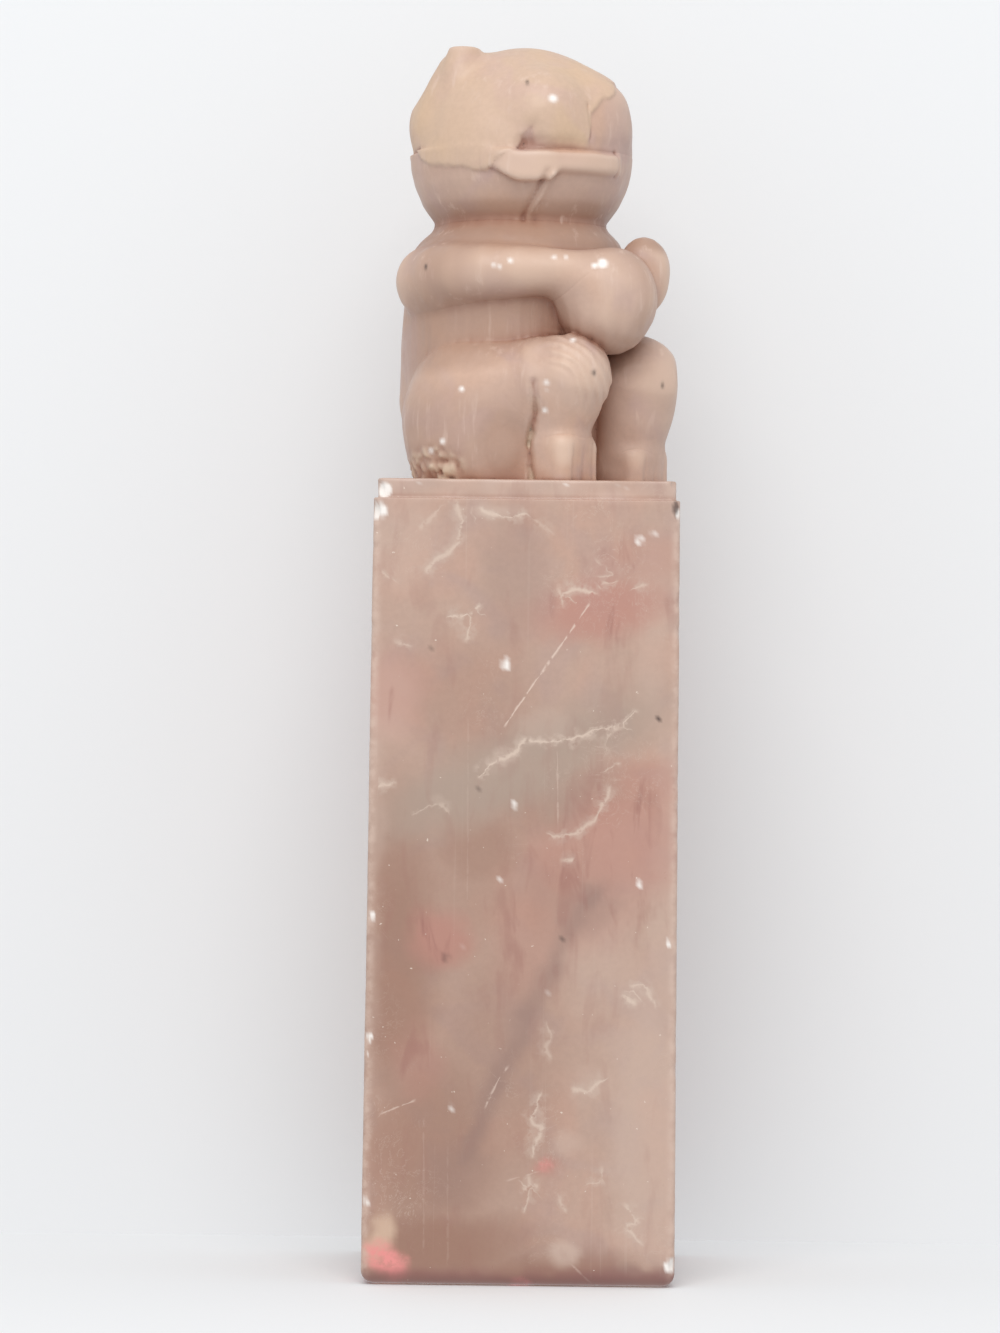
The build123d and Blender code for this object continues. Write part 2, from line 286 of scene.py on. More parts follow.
FRUIT_CENTRE, FRUIT_RADIUS = (8.9, 1.5, 12.05), 3.3
# each arm's side, the hand's half height and the wrist's level
ARMS = (("right", 1, 1.9, 14.1), ("left", -1, 2.6, 14.8))
ARM_RADII = (2.5, 1.9, 1.25)


def animal_forms(x, y, z):
    """Every form of the animal, and their common skin."""
    f, r = turned(x, y, BODY_CENTRE, BODY_TURN)
    h = z - SEAT
    forms = {"torso": torso_form(x, y, z)}
    skin = forms["torso"]
    forms["held_fruit"] = ball(f, r, h, FRUIT_CENTRE, FRUIT_RADIUS)
    for name in SIDES:
        haunch, thigh, shin, foot = leg_forms(f, r, h, name)
        forms[name + "_haunch"] = haunch
        forms[name + "_thigh"] = thigh
        forms[name + "_shin"] = shin
        forms[name + "_foot"] = foot
        leg = join(join(join(haunch, thigh, 1.3), shin, 0.35), foot, 0.9)
        skin = join(skin, leg, 0.15)
    held = forms["held_fruit"]
    for name, side, hand_height, wrist in ARMS:
        bends = (-2.3, side * 5.6, 13.6), (2.8, side * 6.7, 14.1), (9.3, side * 2.7, wrist)
        arm = bent_limb(f, r, h, bends, ARM_RADII)
        hand = lump(f, r, h, (9.9, side * 1.4, wrist - 0.7), (1.7, 1.7, hand_height))
        forms[name + "_arm"] = arm
        forms[name + "_hand"] = hand
        arm = join(arm, hand, 1.2)
        held = join(held, arm, 1.9) if name == "right" else join(held, arm, 0.2)
        skin = join(skin, arm, 0.5)
    skin = join(skin, held, 0.25)
    head, upper, jaw, ears = head_forms(x, y, z)
    forms["head"], forms["jaw"] = upper, jaw
    forms["right_ear"], forms["left_ear"] = ears["right"], ears["left"]
    for name, soft in (("right", 0.4), ("left", 0.9)):
        head = join(head, ears[name], soft)
    skin = join(skin, head, 0.9)
    bar = np.maximum(np.abs(x), np.abs(y)) - FIGURE_HALF
    skin = trim(skin, bar + 0 * z, 0.3)
    # the haunch draws in towards the plinth
    skin = trim(skin, (-7.6 - 0.235 * (z - PLINTH_TOP) - x) * 0.97 + 0 * y, 0.4)
    return forms, skin


# Hand work on the skin of the animal

SHEET_THICKNESS = 0.15
# lower edge of the pale sheet of stone left on the head: (turn from the face, height)
SHEET_EDGE = (
    (-180, 6.2), (-120, 7.6), (-60, 9.6), (-47, 9.4), (-22, 9.2), (-12, 8.4), (-1.3, 7.8),
    (3.6, 7.0), (4.6, 6.0), (5.6, 4.9), (37.0, 4.9), (39.5, 6.0), (45, 5.2), (46.5, 4.6),
    (54.5, 4.0), (59.8, 3.5), (62.6, 3.0), (76.8, 3.3), (95, 3.5), (107, 4.0), (114, 4.9),
    (135, 4.4), (160, 5.4), (180, 6.2),
)


def on_line(a, b, points, soft):
    """How near places (a, b) are to a line of points: 1 on it, and 0 from the soft width out."""
    gap = np.full(a.shape, 1e3, np.float32)
    for (a0, b0), (a1, b1) in zip(points, points[1:]):
        run = (a1 - a0) ** 2 + (b1 - b0) ** 2
        share = np.clip(((a - a0) * (a1 - a0) + (b - b0) * (b1 - b0)) / run, 0, 1)
        gap = np.minimum(gap, np.hypot(a - a0 - share * (a1 - a0), b - b0 - share * (b1 - b0)))
    return ramp(gap, soft, 0)


# white spots on the animal's right side, some nicks and some painted glints of light: across, level
# and size
WHITE_NICKS_AND_GLINTS = (
    (4.8, 67.5, 0.42), (4.3, 67.35, 0.24), (1.42, 78.5, 0.34), (-1.3, 67.6, 0.19),
    (-2.4, 67.35, 0.17), (-2.0, 67.2, 0.15), (1.6, 67.9, 0.15), (2.4, 67.9, 0.14),
    (2.9, 62.4, 0.18), (1.2, 59.5, 0.2), (1.2, 59.0, 0.16), (1.1, 57.7, 0.18), (-4.4, 59.1, 0.18),
    (-5.6, 55.6, 0.22), (-6.4, 55.0, 0.2),
)


def hand_work(places, skin):
    """The skin after the knife, wear and breaks, the marks that they left, and where shade and
    glints of light are painted.
    """
    x, y, z = places.T
    skin = skin + 0.08 * mottle(places, 3.1, 11) + 0.045 * mottle(places, 1.3, 12)
    fine = mottle(places, 0.55, 13)
    f, r = turned(x, y, HEAD_CENTRE, HEAD_TURN)
    h = z - NECK
    turn = np.degrees(np.arctan2(r, f))
    on_head = ramp(h, -0.4, 0.2)
    arc = turn * 0.13  # the turn as a length on the head's skin
    # pale sheet with a ragged edge
    turns, heights = zip(*SHEET_EDGE)
    ragged = 0.14 * mottle(places, 0.9, 14) + 0.1 * mottle(places, 0.4, 15)
    edge = h - np.interp(turn + 2.5 * mottle(places, 1.1, 18), turns, heights) + ragged
    over_lip = ramp(turn, 3, 8) * ramp(turn, 46, 40)
    soft = 0.08 + 0.4 * over_lip
    sheet = ramp(edge, -soft, soft) * on_head
    # it thins out where it crosses the two outlines of the head
    right_outline = ramp(turn, 112, 126) * ramp(turn, 152, 138)
    left_outline = ramp(turn, -38, -46) * ramp(turn, -62, -50)
    thick = SHEET_THICKNESS * (1 - 0.7 * right_outline) * (1 - 0.6 * left_outline)
    skin = skin - thick * sheet
    # the mouth: a soft fold over the lower lip, deepest at its right end
    fold = np.interp(turn, (-16, -12, 0, 28, 38, 43, 48), (0, 0.12, 0.17, 0.16, 0.22, 0.26, 0))
    mouth = ramp(h, 4.3, 4.7) * ramp(h, 5.7, 4.8) * on_head
    hollow = on_line(arc, h, ((5.15, 5.9), (4.95, 5.1), (5.7, 4.8)), 0.9) * on_head
    skin = skin + 0.8 * fold * mouth + 0.16 * hollow
    # the lip's left end, a crease down the upper lip, and a slanting scar on the chin
    corner = on_line(arc, h, ((-1.75, 4.6), (-1.8, 3.0)), 0.22)
    crease = on_line(arc, h, ((0.75, 5.4), (0.8, 7.6)), 0.25)
    scar = on_line(arc, h, ((4.05, 2.9), (4.75, 1.5), (5.6, 0.0)), 0.45)
    ridge = on_line(arc, h, ((3.65, 2.8), (4.3, 1.4), (5.2, 0.1)), 0.4)
    skin = skin + 0.12 * corner * on_head + 0.12 * crease + 0.17 * scar - 0.13 * ridge
    # upright knife marks on the side of the torso and the collar
    bare = ramp(z, 60.2, 61.2) * ramp(z, 65.8, 64.9) * ramp(y, -2, -3.5)
    collar = ramp(z, 69.0, 69.6) * ramp(z, 71.0, 70.5)
    cuts = mottle(places, (0.32, 0.6, 3.0), 16)
    skin = skin + 0.05 * cuts * np.maximum(bare, 0.7 * collar)
    # curved knife marks round the right knee
    reach = np.hypot(x - 1.1, z - 58.6)
    knee = ramp(reach, 1.6, 2.4) * ramp(reach, 5.2, 4.4)
    knee = knee * ramp(x, 0.6, 2.0) * ramp(z, 57.4, 58.6) * ramp(y, -4, -6)
    rings = np.sin(reach * 12 + 2.2 * mottle(places, 1.6, 17))
    skin = skin + 0.055 * rings * knee
    # a coarse broken patch at the foot of the haunch, and nicks down the crease by the shin
    coarse = ramp(np.hypot((x + 6.2) / 1.6, (z - 53.9) / 1.1), 1.6, 0.7) * ramp(y, 0, -2)
    chipped = mottle(places, 0.38, 19)
    nicked = on_line(x, z, ((0.35, 59.6), (0.5, 57.5), (0.1, 55.6), (0.3, 53.0)), 0.4)
    nicked = nicked * ramp(y, -3, -5)
    skin = skin + coarse * (0.12 + 0.24 * chipped) + nicked * (0.26 + 0.2 * fine)
    # a shallow dip low on the haunch, in front of the crease
    dip = ramp(np.hypot((x + 1.6) / 2.2, (z - 55.0) / 3.0), 1.0, 0.45) * ramp(y, -3, -5)
    skin = skin + 0.3 * dip
    # painted shade: darker colour back from the bar's faces below the head, in the dip, round the
    # neck, and low on the right haunch
    depth = FIGURE_HALF - np.maximum(np.abs(x), np.abs(y))
    set_back = ramp(depth, 1.0, 3.4) * ramp(z, 59.5, 61.0) * ramp(h, 0.4, -0.4)
    neck = ramp(h, -2.6, -1.6) * ramp(h, 2.2, -0.2)
    low_haunch = ramp(z, 61.5, 57) * ramp(y, -4, -6) * ramp(x, 0.4, -0.4)
    painted_recess_shade = np.maximum(0.7 * set_back, 0.6 * dip)
    painted_recess_shade = np.maximum(painted_recess_shade, np.maximum(0.9 * neck, 0.45 * low_haunch))
    flakes = np.maximum(coarse * ramp(chipped, 0.1, -0.4), nicked * ramp(fine, -0.1, 0.5))
    white = np.zeros_like(x)
    for across, level, size in WHITE_NICKS_AND_GLINTS:
        white = np.maximum(white, ramp(np.hypot(x - across, z - level), size, 0.55 * size))
    white = white * ramp(y, -2, -4) * ramp(fine, -0.9, -0.3)
    dark = np.zeros_like(x)
    for across, level in ((4.3, 60.2), (9.0, 59.7), (-6.9, 67.3), (-0.3, 79.6)):
        dark = np.maximum(dark, ramp(np.hypot(x - across, (z - level) * 0.6), 0.16, 0.05))
    dark = dark * ramp(y, -2, -4)
    return skin, {"sheet": sheet, "flakes": flakes, "white": white, "speck": dark, "painted_recess_shade": painted_recess_shade}


# Skins from the sculpting grid

CELL_CORNERS = [(i, j, k) for i in (0, 1) for j in (0, 1) for k in (0, 1)]


def softened(field, reach):
    """The field averaged over a cube of `reach` grid steps each way."""
    for axis in range(3):
        pad = [(reach + 1, reach) if i == axis else (0, 0) for i in range(3)]
        total = np.cumsum(np.pad(field, pad, mode="reflect", reflect_type="odd"), axis=axis)
        count = field.shape[axis]
        far = np.take(total, np.arange(count) + 2 * reach + 1, axis=axis)
        near = np.take(total, np.arange(count), axis=axis)
        field = (far - near) / (2 * reach + 1)
    return field


def corner_slice(field, corner):
    return field[tuple(slice(c, n - 1 + c) for c, n in zip(corner, field.shape))]


def grid_value(field, at):
    """The field at places given in grid steps."""
    limit = np.array(field.shape) - 2
    cell = np.clip(np.floor(at).astype(np.int64), 0, limit)
    share = (at - cell).astype(np.float32)
    total = np.zeros(len(at), np.float32)
    for corner in CELL_CORNERS:
        weight = np.ones(len(at), np.float32)
        for axis, c in enumerate(corner):
            weight *= share[:, axis] if c else 1 - share[:, axis]
        total += weight * field[tuple((cell + corner).T)]
    return total


def skin_mesh(field):
    """Points in grid steps, and four-sided faces, where the field passes through zero."""
    inside = field < 0
    cells = tuple(n - 1 for n in field.shape)
    count = np.zeros(cells, np.int8)
    for corner in CELL_CORNERS:
        count += corner_slice(inside, corner)
    mixed = (count > 0) & (count < 8)
    where = np.argwhere(mixed)
    number = np.full(cells, -1, np.int32)
    number[mixed] = np.arange(len(where), dtype=np.int32)
    total = np.zeros((len(where), 3), np.float32)
    hits = np.zeros(len(where), np.float32)
    for corner in CELL_CORNERS:
        for axis in range(3):
            if corner[axis]:
                continue
            other = tuple(c + (i == axis) for i, c in enumerate(corner))
            a = field[tuple((where + corner).T)]
            b = field[tuple((where + other).T)]
            crossing = (a < 0) != (b < 0)
            share = np.where(crossing, a / np.where(crossing, a - b, 1), 0)
            place = np.tile(np.array(corner, np.float32), (len(where), 1))
            place[:, axis] += share
            total += place * crossing[:, None]
            hits += crossing
    points = where + total / hits[:, None]
    # settle each point onto the skin
    for _ in range(3):
        value = grid_value(field, points)
        slope = np.stack(
            [
                grid_value(field, points + 0.5 * np.eye(3)[i])
                - grid_value(field, points - 0.5 * np.eye(3)[i])
                for i in range(3)
            ],
            axis=1,
        )
        square = np.maximum((slope * slope).sum(1), 1e-6)
        move = -(value / square)[:, None] * slope
        points = points + np.clip(move, -0.35, 0.35) * 0.8
    faces = []
    for axis in range(3):
        u, v = (axis + 1) % 3, (axis + 2) % 3
        low = [slice(1, n - 1) for n in field.shape]
        low[axis] = slice(0, field.shape[axis] - 1)
        high = list(low)
        high[axis] = slice(1, field.shape[axis])
        a, b = inside[tuple(low)], inside[tuple(high)]
        for turn, change in ((False, a & ~b), (True, ~a & b)):
            at = np.argwhere(change)
            at[:, u] += 1
            at[:, v] += 1
            corners = []
            for du, dv in ((-1, -1), (0, -1), (0, 0), (-1, 0)):
                cell = at.copy()
                cell[:, u] += du
                cell[:, v] += dv
                corners.append(number[tuple(cell.T)])
            quad = np.stack(corners, axis=1)
            faces.append(quad[:, ::-1] if turn else quad)
    return points, np.concatenate(faces)


def add_object(name, data):
    """A mesh, lamp or camera put into the scene."""
    thing = bpy.data.objects.new(name, data)
    bpy.context.scene.collection.objects.link(thing)
    return thing


def make_piece(name, points, faces, marks, caps=None, sharp=None):
    """A mesh piece from points in millimetres, with named marks stored at its points."""
    mesh = bpy.data.meshes.new(name)
    corners = [np.asarray(faces, np.int32)] + ([] if caps is None else [np.asarray(caps, np.int32)])
    loops = np.concatenate([group.ravel() for group in corners])
    sides = np.concatenate([np.full(len(group), group.shape[1]) for group in corners])
    mesh.vertices.add(len(points))
    mesh.vertices.foreach_set("co", (np.asarray(points, np.float32) * MM).ravel())
    mesh.loops.add(len(loops))
    mesh.loops.foreach_set("vertex_index", loops)
    mesh.polygons.add(len(sides))
    mesh.polygons.foreach_set("loop_start", (np.cumsum(sides) - sides).astype(np.int32))
    mesh.polygons.foreach_set("use_smooth", np.ones(len(sides), bool))
    for mark, values in marks.items():
        layer = mesh.attributes.new(mark, "FLOAT", "POINT")
        layer.data.foreach_set("value", np.asarray(values, np.float32))
    mesh.update(calc_edges=True)
    mesh.validate()
    if sharp:
        mesh.set_sharp_from_angle(angle=math.radians(sharp))
    return add_object(name, mesh)


def sculpt_animal():
    """One piece for each of the animal's forms, all skins of one common stone."""
    low = np.array([-GRID_REACH, -GRID_REACH, PLINTH_TOP - 0.4])
    high = np.array([GRID_REACH, GRID_REACH, GRID_TOP])
    steps = np.ceil((high - low) / GRAIN).astype(int) + 1
    x, y, z = (
        (low[i] + GRAIN * np.arange(steps[i])).astype(np.float32).reshape(shape)
        for i, shape in enumerate(((-1, 1, 1), (1, -1, 1), (1, 1, -1)))
    )
    forms, skin = animal_forms(x, y, z)
    full = tuple(steps)
    skin = np.ascontiguousarray(np.broadcast_to(skin, full), dtype=np.float32)
    near = np.argwhere(np.abs(skin) < HAND_REACH)
    places = (low + GRAIN * near).astype(np.float32)
    at = tuple(near.T)
    skin[at], marks = hand_work(places, skin[at])
    skin = np.maximum(skin, PLINTH_TOP - 0.15 - z)
    mark_fields = {}
    for mark, values in marks.items():
        mark_fields[mark] = np.zeros(full, np.float32)
        mark_fields[mark][at] = values
    # how deep each place lies in a crease or a broad hollow, with the plinth's top as stone
    ground = np.minimum(np.clip(skin, -1.5, 1.5), np.clip(z - PLINTH_TOP, -1.5, 1.5))
    mark_fields["crease"] = -softened(ground, round(CREASE_REACH / GRAIN)) / CREASE_DEPTH
    mark_fields["hollow"] = -softened(ground, round(HOLLOW_REACH / GRAIN)) / HOLLOW_DEPTH
    names = list(forms)
    first = np.full(full, 99, np.float32)
    second = first.copy()
    owner = np.zeros(full, np.int8)
    for index, name in enumerate(names):
        form = np.broadcast_to(forms[name], full)
        closer = form < first
        second = np.where(closer, first, np.minimum(second, form))
        owner = np.where(closer, index, owner)
        first = np.where(closer, form, first)
    pieces = {}
    for index, name in enumerate(names):
        form = np.broadcast_to(forms[name], full)
        other = np.where(owner == index, second, first)
        excess = np.maximum(form - other, 0)
        field = skin + SEAM_RISE * excess * excess
        solid = np.argwhere(field < 0)
        begin = np.maximum(solid.min(0) - 2, 0)
        end = solid.max(0) + 3
        part = np.ascontiguousarray(field[tuple(slice(b, e) for b, e in zip(begin, end))])
        points, faces = skin_mesh(part)
        points = points + begin
        values = {mark: grid_value(whole, points) for mark, whole in mark_fields.items()}
        pieces[name] = make_piece(name + "_stone", low + points * GRAIN, faces, values)
    return pieces


# Block and plinth, from rings of points round a squared bar, and the stamping face

CORNER_STEPS = 5
SIDE_SHARES = np.concatenate(
    [np.linspace(-1, -0.93, 6)[:-1], np.linspace(-0.93, 0.93, 63)[:-1], np.linspace(0.93, 1, 6)]
)


def ring(half_x, half_y, corner, level):
    """Points round a rounded square, with the same number of points for every size."""
    points = []
    for quarter in range(4):
        along = SIDE_SHARES
        reach_x, reach_y = (half_x, half_y) if quarter % 2 == 0 else (half_y, half_x)
        side = np.stack([along * (reach_x - corner), np.full(len(along), -reach_y)], axis=1)
        turns = np.radians(np.linspace(-90, 0, CORNER_STEPS + 1)[1:-1])
        arc = np.stack(
            [reach_x - corner + corner * np.cos(turns), corner - reach_y + corner * np.sin(turns)],
            axis=1,
        )
        c, s = ((1, 0), (0, 1), (-1, 0), (0, -1))[quarter]
        flat = np.concatenate([side, arc])
        along, out = flat.T
        points.append(np.stack([along * c - out * s, along * s + out * c], axis=1))
    flat = np.concatenate(points)
    return np.column_stack([flat, np.full(len(flat), level)])


def wall(rings):
    """Faces between rings from the top down, with a cap at each end."""
    count = len(rings[0])
    points = np.concatenate(rings + [rings[0].mean(0)[None], rings[-1].mean(0)[None]])
    here = np.arange(count)
    after = (here + 1) % count
    faces = []
    for index in range(len(rings) - 1):
        top, low = index * count, (index + 1) * count
        faces.append(np.stack([top + here, low + here, low + after, top + after], axis=1))
    last = (len(rings) - 1) * count
    crown = np.full(count, len(points) - 2)
    base = np.full(count, len(points) - 1)
    top_cap = np.stack([crown, here, after], axis=1)
    base_cap = np.stack([base, last + after, last + here], axis=1)
    return points, np.concatenate(faces), np.concatenate([top_cap, base_cap])


def block_half(level):
    """Half the block's width at a level; it spreads a little towards the foot."""
    return BAR_HALF + FOOT_FLARE * (1 - level / BLOCK_TOP)


# places on the block's front: across, level, half length, half width, tilt in degrees, strength
PINK = (
    (0.6, 23.6, 2.4, 4.6, -10, 0.4), (4.9, 44.6, 4.3, 1.9, 12, 1.0),
    (7.5, 47.5, 3.0, 2.1, 20, 0.5), (-8.9, 39.1, 2.4, 2.8, 0, 0.6), (6.7, 29.4, 3.9, 3.9, 60, 0.8),
    (8.0, 32.7, 2.6, 1.8, 10, 0.6), (3.1, 28.1, 3.0, 2.6, 30, 0.6), (-5.4, 22.8, 1.9, 1.7, 0, 1.0),
    (-6.6, 14.8, 1.6, 2.2, 0, 0.4), (1.9, 7.7, 0.8, 0.8, 0, 1.0), (5.1, 25.1, 3.9, 2.6, 40, 0.4),
)
BAND = (
    (-0.2, 34.3, 9.9, 2.5, 24, 1.0), (3.1, 33.6, 3.2, 2.4, 10, 0.6), (8.3, 38.3, 2.6, 2.0, 15, 0.4),
)
MAUVE = (
    (4.4, 24.8, 2.2, 1.4, 48, 0.4), (-4.2, 7.6, 2.2, 1.9, 55, 0.45),
    (-0.7, 46.8, 2.0, 4.6, 0, 0.35), (6.7, 0.6, 3.3, 0.7, 0, 0.7), (9.5, 0.6, 0.8, 0.6, 0, 0.9),
)
BROWN = (
    (-5.4, 22.7, 2.4, 2.2, 0, 0.5), (-2.8, 28.6, 3.4, 2.6, 10, 0.6),
    (-1.6, 14.5, 4.4, 9.0, 0, 0.45), (2.0, 25.5, 3.0, 3.6, 0, 0.4),
    (2.0, 31.5, 6.0, 1.8, 15, 0.45), (-8.3, 21.3, 3.3, 9.9, 0, 0.8), (-5.8, 2.4, 6.6, 3.0, 0, 0.9),
    (2.8, 0.7, 7.2, 1.6, 0, 0.9), (-5.9, 9.2, 5.0, 7.2, 0, 0.7), (-3.4, 26.0, 3.9, 5.3, 0, 0.4),
    (-3.6, 38.5, 3.9, 3.9, 0, 0.35),
)
PALE = (
    (-9.2, 38.5, 2.0, 2.6, 0, 0.9), (-1.6, 51.1, 1.7, 0.5, 0, 0.9), (1.4, 36.9, 1.8, 1.1, 10, 0.4),
    (-1.4, 34.8, 1.6, 0.8, 35, 0.3), (8.5, 10.4, 2.4, 9.9, 0, 0.7), (8.5, 43.9, 1.2, 5.9, 0, 0.4),
    (-8.2, 48.6, 2.2, 3.0, 0, 0.5), (3.0, 2.3, 1.0, 0.9, 0, 1.0), (3.2, 9.4, 0.9, 0.8, 0, 0.6),
    (5.3, 13.3, 2.0, 1.2, 20, 0.35), (7.8, 20.2, 1.4, 1.4, 0, 0.35),
    (5.2, 21.5, 2.6, 3.9, 30, 0.35), (9.4, 23.5, 0.9, 13.2, 0, 0.5),
    (-10.0, 31.8, 0.8, 19.7, 0, 0.35),
)
CREAM = ((-9.1, 3.0, 0.9, 1.6, -12, 0.9),)
RED = ((-8.7, 1.5, 1.7, 1.0, -40, 1.0), (0.5, 0.2, 0.7, 0.5, 0, 0.9), (1.9, 7.7, 0.5, 0.5, 0, 0.5))
# the mauve vein that crosses the front, as places (across, level)
VEIN = ((5.0, 26.2), (3.2, 23.6), (1.6, 20.2), (0.4, 17.2), (-1.2, 14.0), (-2.6, 11.2), (-3.5, 8.2))
# white nicks and dark specks: across, level, half width, half height, tilt, strength
WHITE_MARKS = (
    (-9.6, 51.0, 0.5, 0.6, 0, 1.0), (-9.9, 24.3, 0.25, 0.35, 0, 1.0),
    (-9.9, 16.3, 0.2, 0.4, 0, 1.0), (-10.0, 15.1, 0.15, 0.2, 0, 0.8),
    (-10.0, 5.5, 0.2, 0.3, 0, 0.8), (9.7, 22.7, 0.25, 0.3, 0, 0.9), (9.9, 1.4, 0.35, 0.45, 0, 1.0),
    (-1.2, 40.9, 0.32, 0.5, 20, 1.0), (-0.5, 31.7, 0.25, 0.25, 0, 0.8),
    (7.7, 26.5, 0.22, 0.32, 0, 0.9), (-3.7, 22.4, 0.22, 0.15, 0, 0.7),
    (-4.5, 11.7, 0.25, 0.18, 0, 0.7), (1.6, 20.7, 0.18, 0.18, 0, 0.7),
    (1.8, 19.2, 0.18, 0.18, 0, 0.7), (3.5, 17.5, 0.15, 0.25, 0, 0.7),
    (-1.5, 26.7, 0.15, 0.15, 0, 0.6), (7.4, 49.1, 0.4, 0.22, 40, 0.8),
    (8.3, 49.6, 0.2, 0.15, 0, 0.8),
)
DARK_MARKS = (
    (8.8, 37.5, 0.2, 0.28, 0, 1.0), (-3.0, 32.8, 0.18, 0.18, 0, 0.9),
    (-6.3, 41.9, 0.18, 0.18, 0, 0.9), (1.3, 23.0, 0.16, 0.2, 0, 0.8),
    (2.7, 23.0, 0.16, 0.2, 0, 0.8), (3.4, 23.1, 0.18, 0.22, 0, 0.9),
    (-5.0, 21.6, 0.4, 0.4, 0, 0.35), (9.8, 51.3, 0.3, 0.7, 0, 0.8),
)
# pale cracks and fine scratches on the front, as lines of (across, level) with a strength
CRACKS = (
    (((-3.0, 51.1), (-2.0, 50.8), (-1.3, 50.6), (-0.1, 50.8)), 1.0),
    (((-4.6, 51.5), (-4.2, 50.1), (-4.4, 49.1), (-5.0, 48.3), (-6.0, 47.7), (-6.5, 47.0)), 0.8),
    (((-6.9, 49.9), (-6.4, 50.5), (-5.6, 51.2)), 0.5), (((0.5, 50.5), (1.6, 49.6)), 0.4),
    (((2.2, 45.9), (2.4, 45.0)), 0.7), (((2.6, 45.7), (3.3, 46.0), (4.5, 45.6)), 1.0),
    (((4.7, 47.7), (5.9, 46.8)), 0.5), (((5.1, 46.4), (5.9, 46.5)), 0.8),
    (((7.1, 46.0), (7.8, 46.2)), 0.7), (((-5.0, 44.0), (-3.8, 44.2), (-3.1, 44.8)), 1.0),
    (((-3.5, 44.4), (-3.8, 42.6)), 0.9),
    (((-2.9, 33.6), (-2.2, 34.3), (-0.6, 35.1), (0.1, 36.0), (1.2, 35.8), (2.9, 36.0),
      (4.6, 36.6), (6.5, 37.1), (7.3, 37.8)), 1.0), (((6.4, 36.9), (5.6, 36.3), (5.3, 35.2)), 0.5),
    (((5.4, 34.0), (6.2, 34.4)), 0.7), (((-9.6, 32.8), (-8.6, 33.0)), 0.9),
    (((5.7, 32.8), (5.2, 31.7), (4.7, 30.7), (3.3, 29.8), (2.2, 29.5), (1.8, 29.7)), 0.8),
    (((-7.1, 31.0), (-6.2, 31.6), (-5.4, 31.6), (-5.0, 31.2)), 0.5),
    (((2.8, 28.1), (3.3, 28.1)), 0.9), (((-9.5, 46.8), (-8.7, 46.3)), 0.6),
    (((-8.4, 42.3), (-7.6, 42.1)), 0.6), (((6.8, 19.1), (7.5, 18.8)), 1.0),
    (((7.3, 19.8), (8.2, 20.0), (8.8, 18.6)), 0.8),
    (((1.8, 17.2), (2.0, 16.5), (1.6, 15.7), (2.0, 15.1)), 0.5),
    (((3.6, 13.0), (4.6, 12.8), (5.1, 13.4), (5.6, 13.7)), 0.8),
    (((1.4, 12.6), (1.1, 11.8), (0.7, 11.0), (1.5, 10.4), (1.2, 9.7), (0.9, 8.7)), 0.9),
    (((0.4, 6.4), (1.1, 6.6)), 0.9), (((0.7, 7.1), (0.6, 5.8), (0.4, 5.0)), 0.7),
    (((5.4, 7.8), (5.6, 7.0), (4.6, 6.8)), 0.6), (((2.7, 5.8), (3.1, 5.1)), 0.6),
    (((7.1, 5.3), (7.8, 4.3), (7.2, 4.1), (8.0, 3.0)), 0.8),
)
SCRATCHES = (
    (((4.1, 44.8), (-1.2, 37.0)), 1.0), (((2.2, 35.1), (2.3, 30.5)), 0.4),
    (((-0.9, 14.3), (-1.4, 13.6), (-2.2, 11.9)), 0.7), (((-9.0, 11.3), (-7.0, 12.1)), 0.7),
    (((3.7, 1.3), (4.7, 0.4)), 0.6), (((-6.3, 10.8), (-6.2, 2.3)), 0.16),
    (((-4.7, 8.9), (-4.6, 1.5)), 0.12), (((-3.7, 37.5), (-3.6, 25.3)), 0.14),
    (((-0.6, 7.0), (1.1, 7.5)), 0.4),
)


def spread(across, level, patches, edge, size=1.0):
    """The strongest of some oval patches at each place; `edge` is how soft their rims are."""
    strength = np.zeros(across.shape, np.float32)
    for centre, height, length, width, tilt, strong in patches:
        c, s = math.cos(math.radians(tilt)), math.sin(math.radians(tilt))
        a = ((across - centre) * c + (level - height) * s) / (length * size)
        b = ((level - height) * c - (across - centre) * s) / (width * size)
        strength = np.maximum(strength, strong * ramp(np.hypot(a, b), 1 + edge, 1 - edge))
    return strength


def line_marks(across, level, lines):
    """How far each place is to one side of the nearest line, and how strong that line is there."""
    aside = np.full(across.shape, 2.0, np.float32)
    strength = np.zeros(across.shape, np.float32)
    nearest = np.full(across.shape, 1e3, np.float32)
    for points, strong in lines:
        for (a0, b0), (a1, b1) in zip(points, points[1:]):
            length = math.hypot(a1 - a0, b1 - b0)
            along = ((across - a0) * (a1 - a0) + (level - b0) * (b1 - b0)) / length
            side = ((across - a0) * (b1 - b0) - (level - b0) * (a1 - a0)) / length
            past = np.maximum(np.maximum(-along, along - length), 0)
            gap = np.hypot(side, past)
            closer = gap < nearest
            nearest = np.where(closer, gap, nearest)
            aside = np.where(closer, side, aside)
            here = strong * ramp(past, 0.3, 0) * ramp(gap, 1.0, 0.6)
            strength = np.where(closer, here, strength)
    return aside, strength


def stray_lines(seed, count, longest):
    """Short bent lines for a side that has no cracks of its own written down."""
    random = np.random.default_rng(seed)
    lines = []
    for _ in range(count):
        place = [random.uniform(-8.5, 8.5), random.uniform(2, 50)]
        heading = random.uniform(0, 2 * math.pi)
        points = [tuple(place)]
        for _ in range(random.integers(2, 6)):
            heading += random.uniform(-0.8, 0.8)
            step = random.uniform(0.3, longest)
            place = [place[0] + step * math.cos(heading), place[1] + step * math.sin(heading)]
            points.append(tuple(place))
        lines.append((tuple(points), random.uniform(0.2, 0.75)))
    return lines


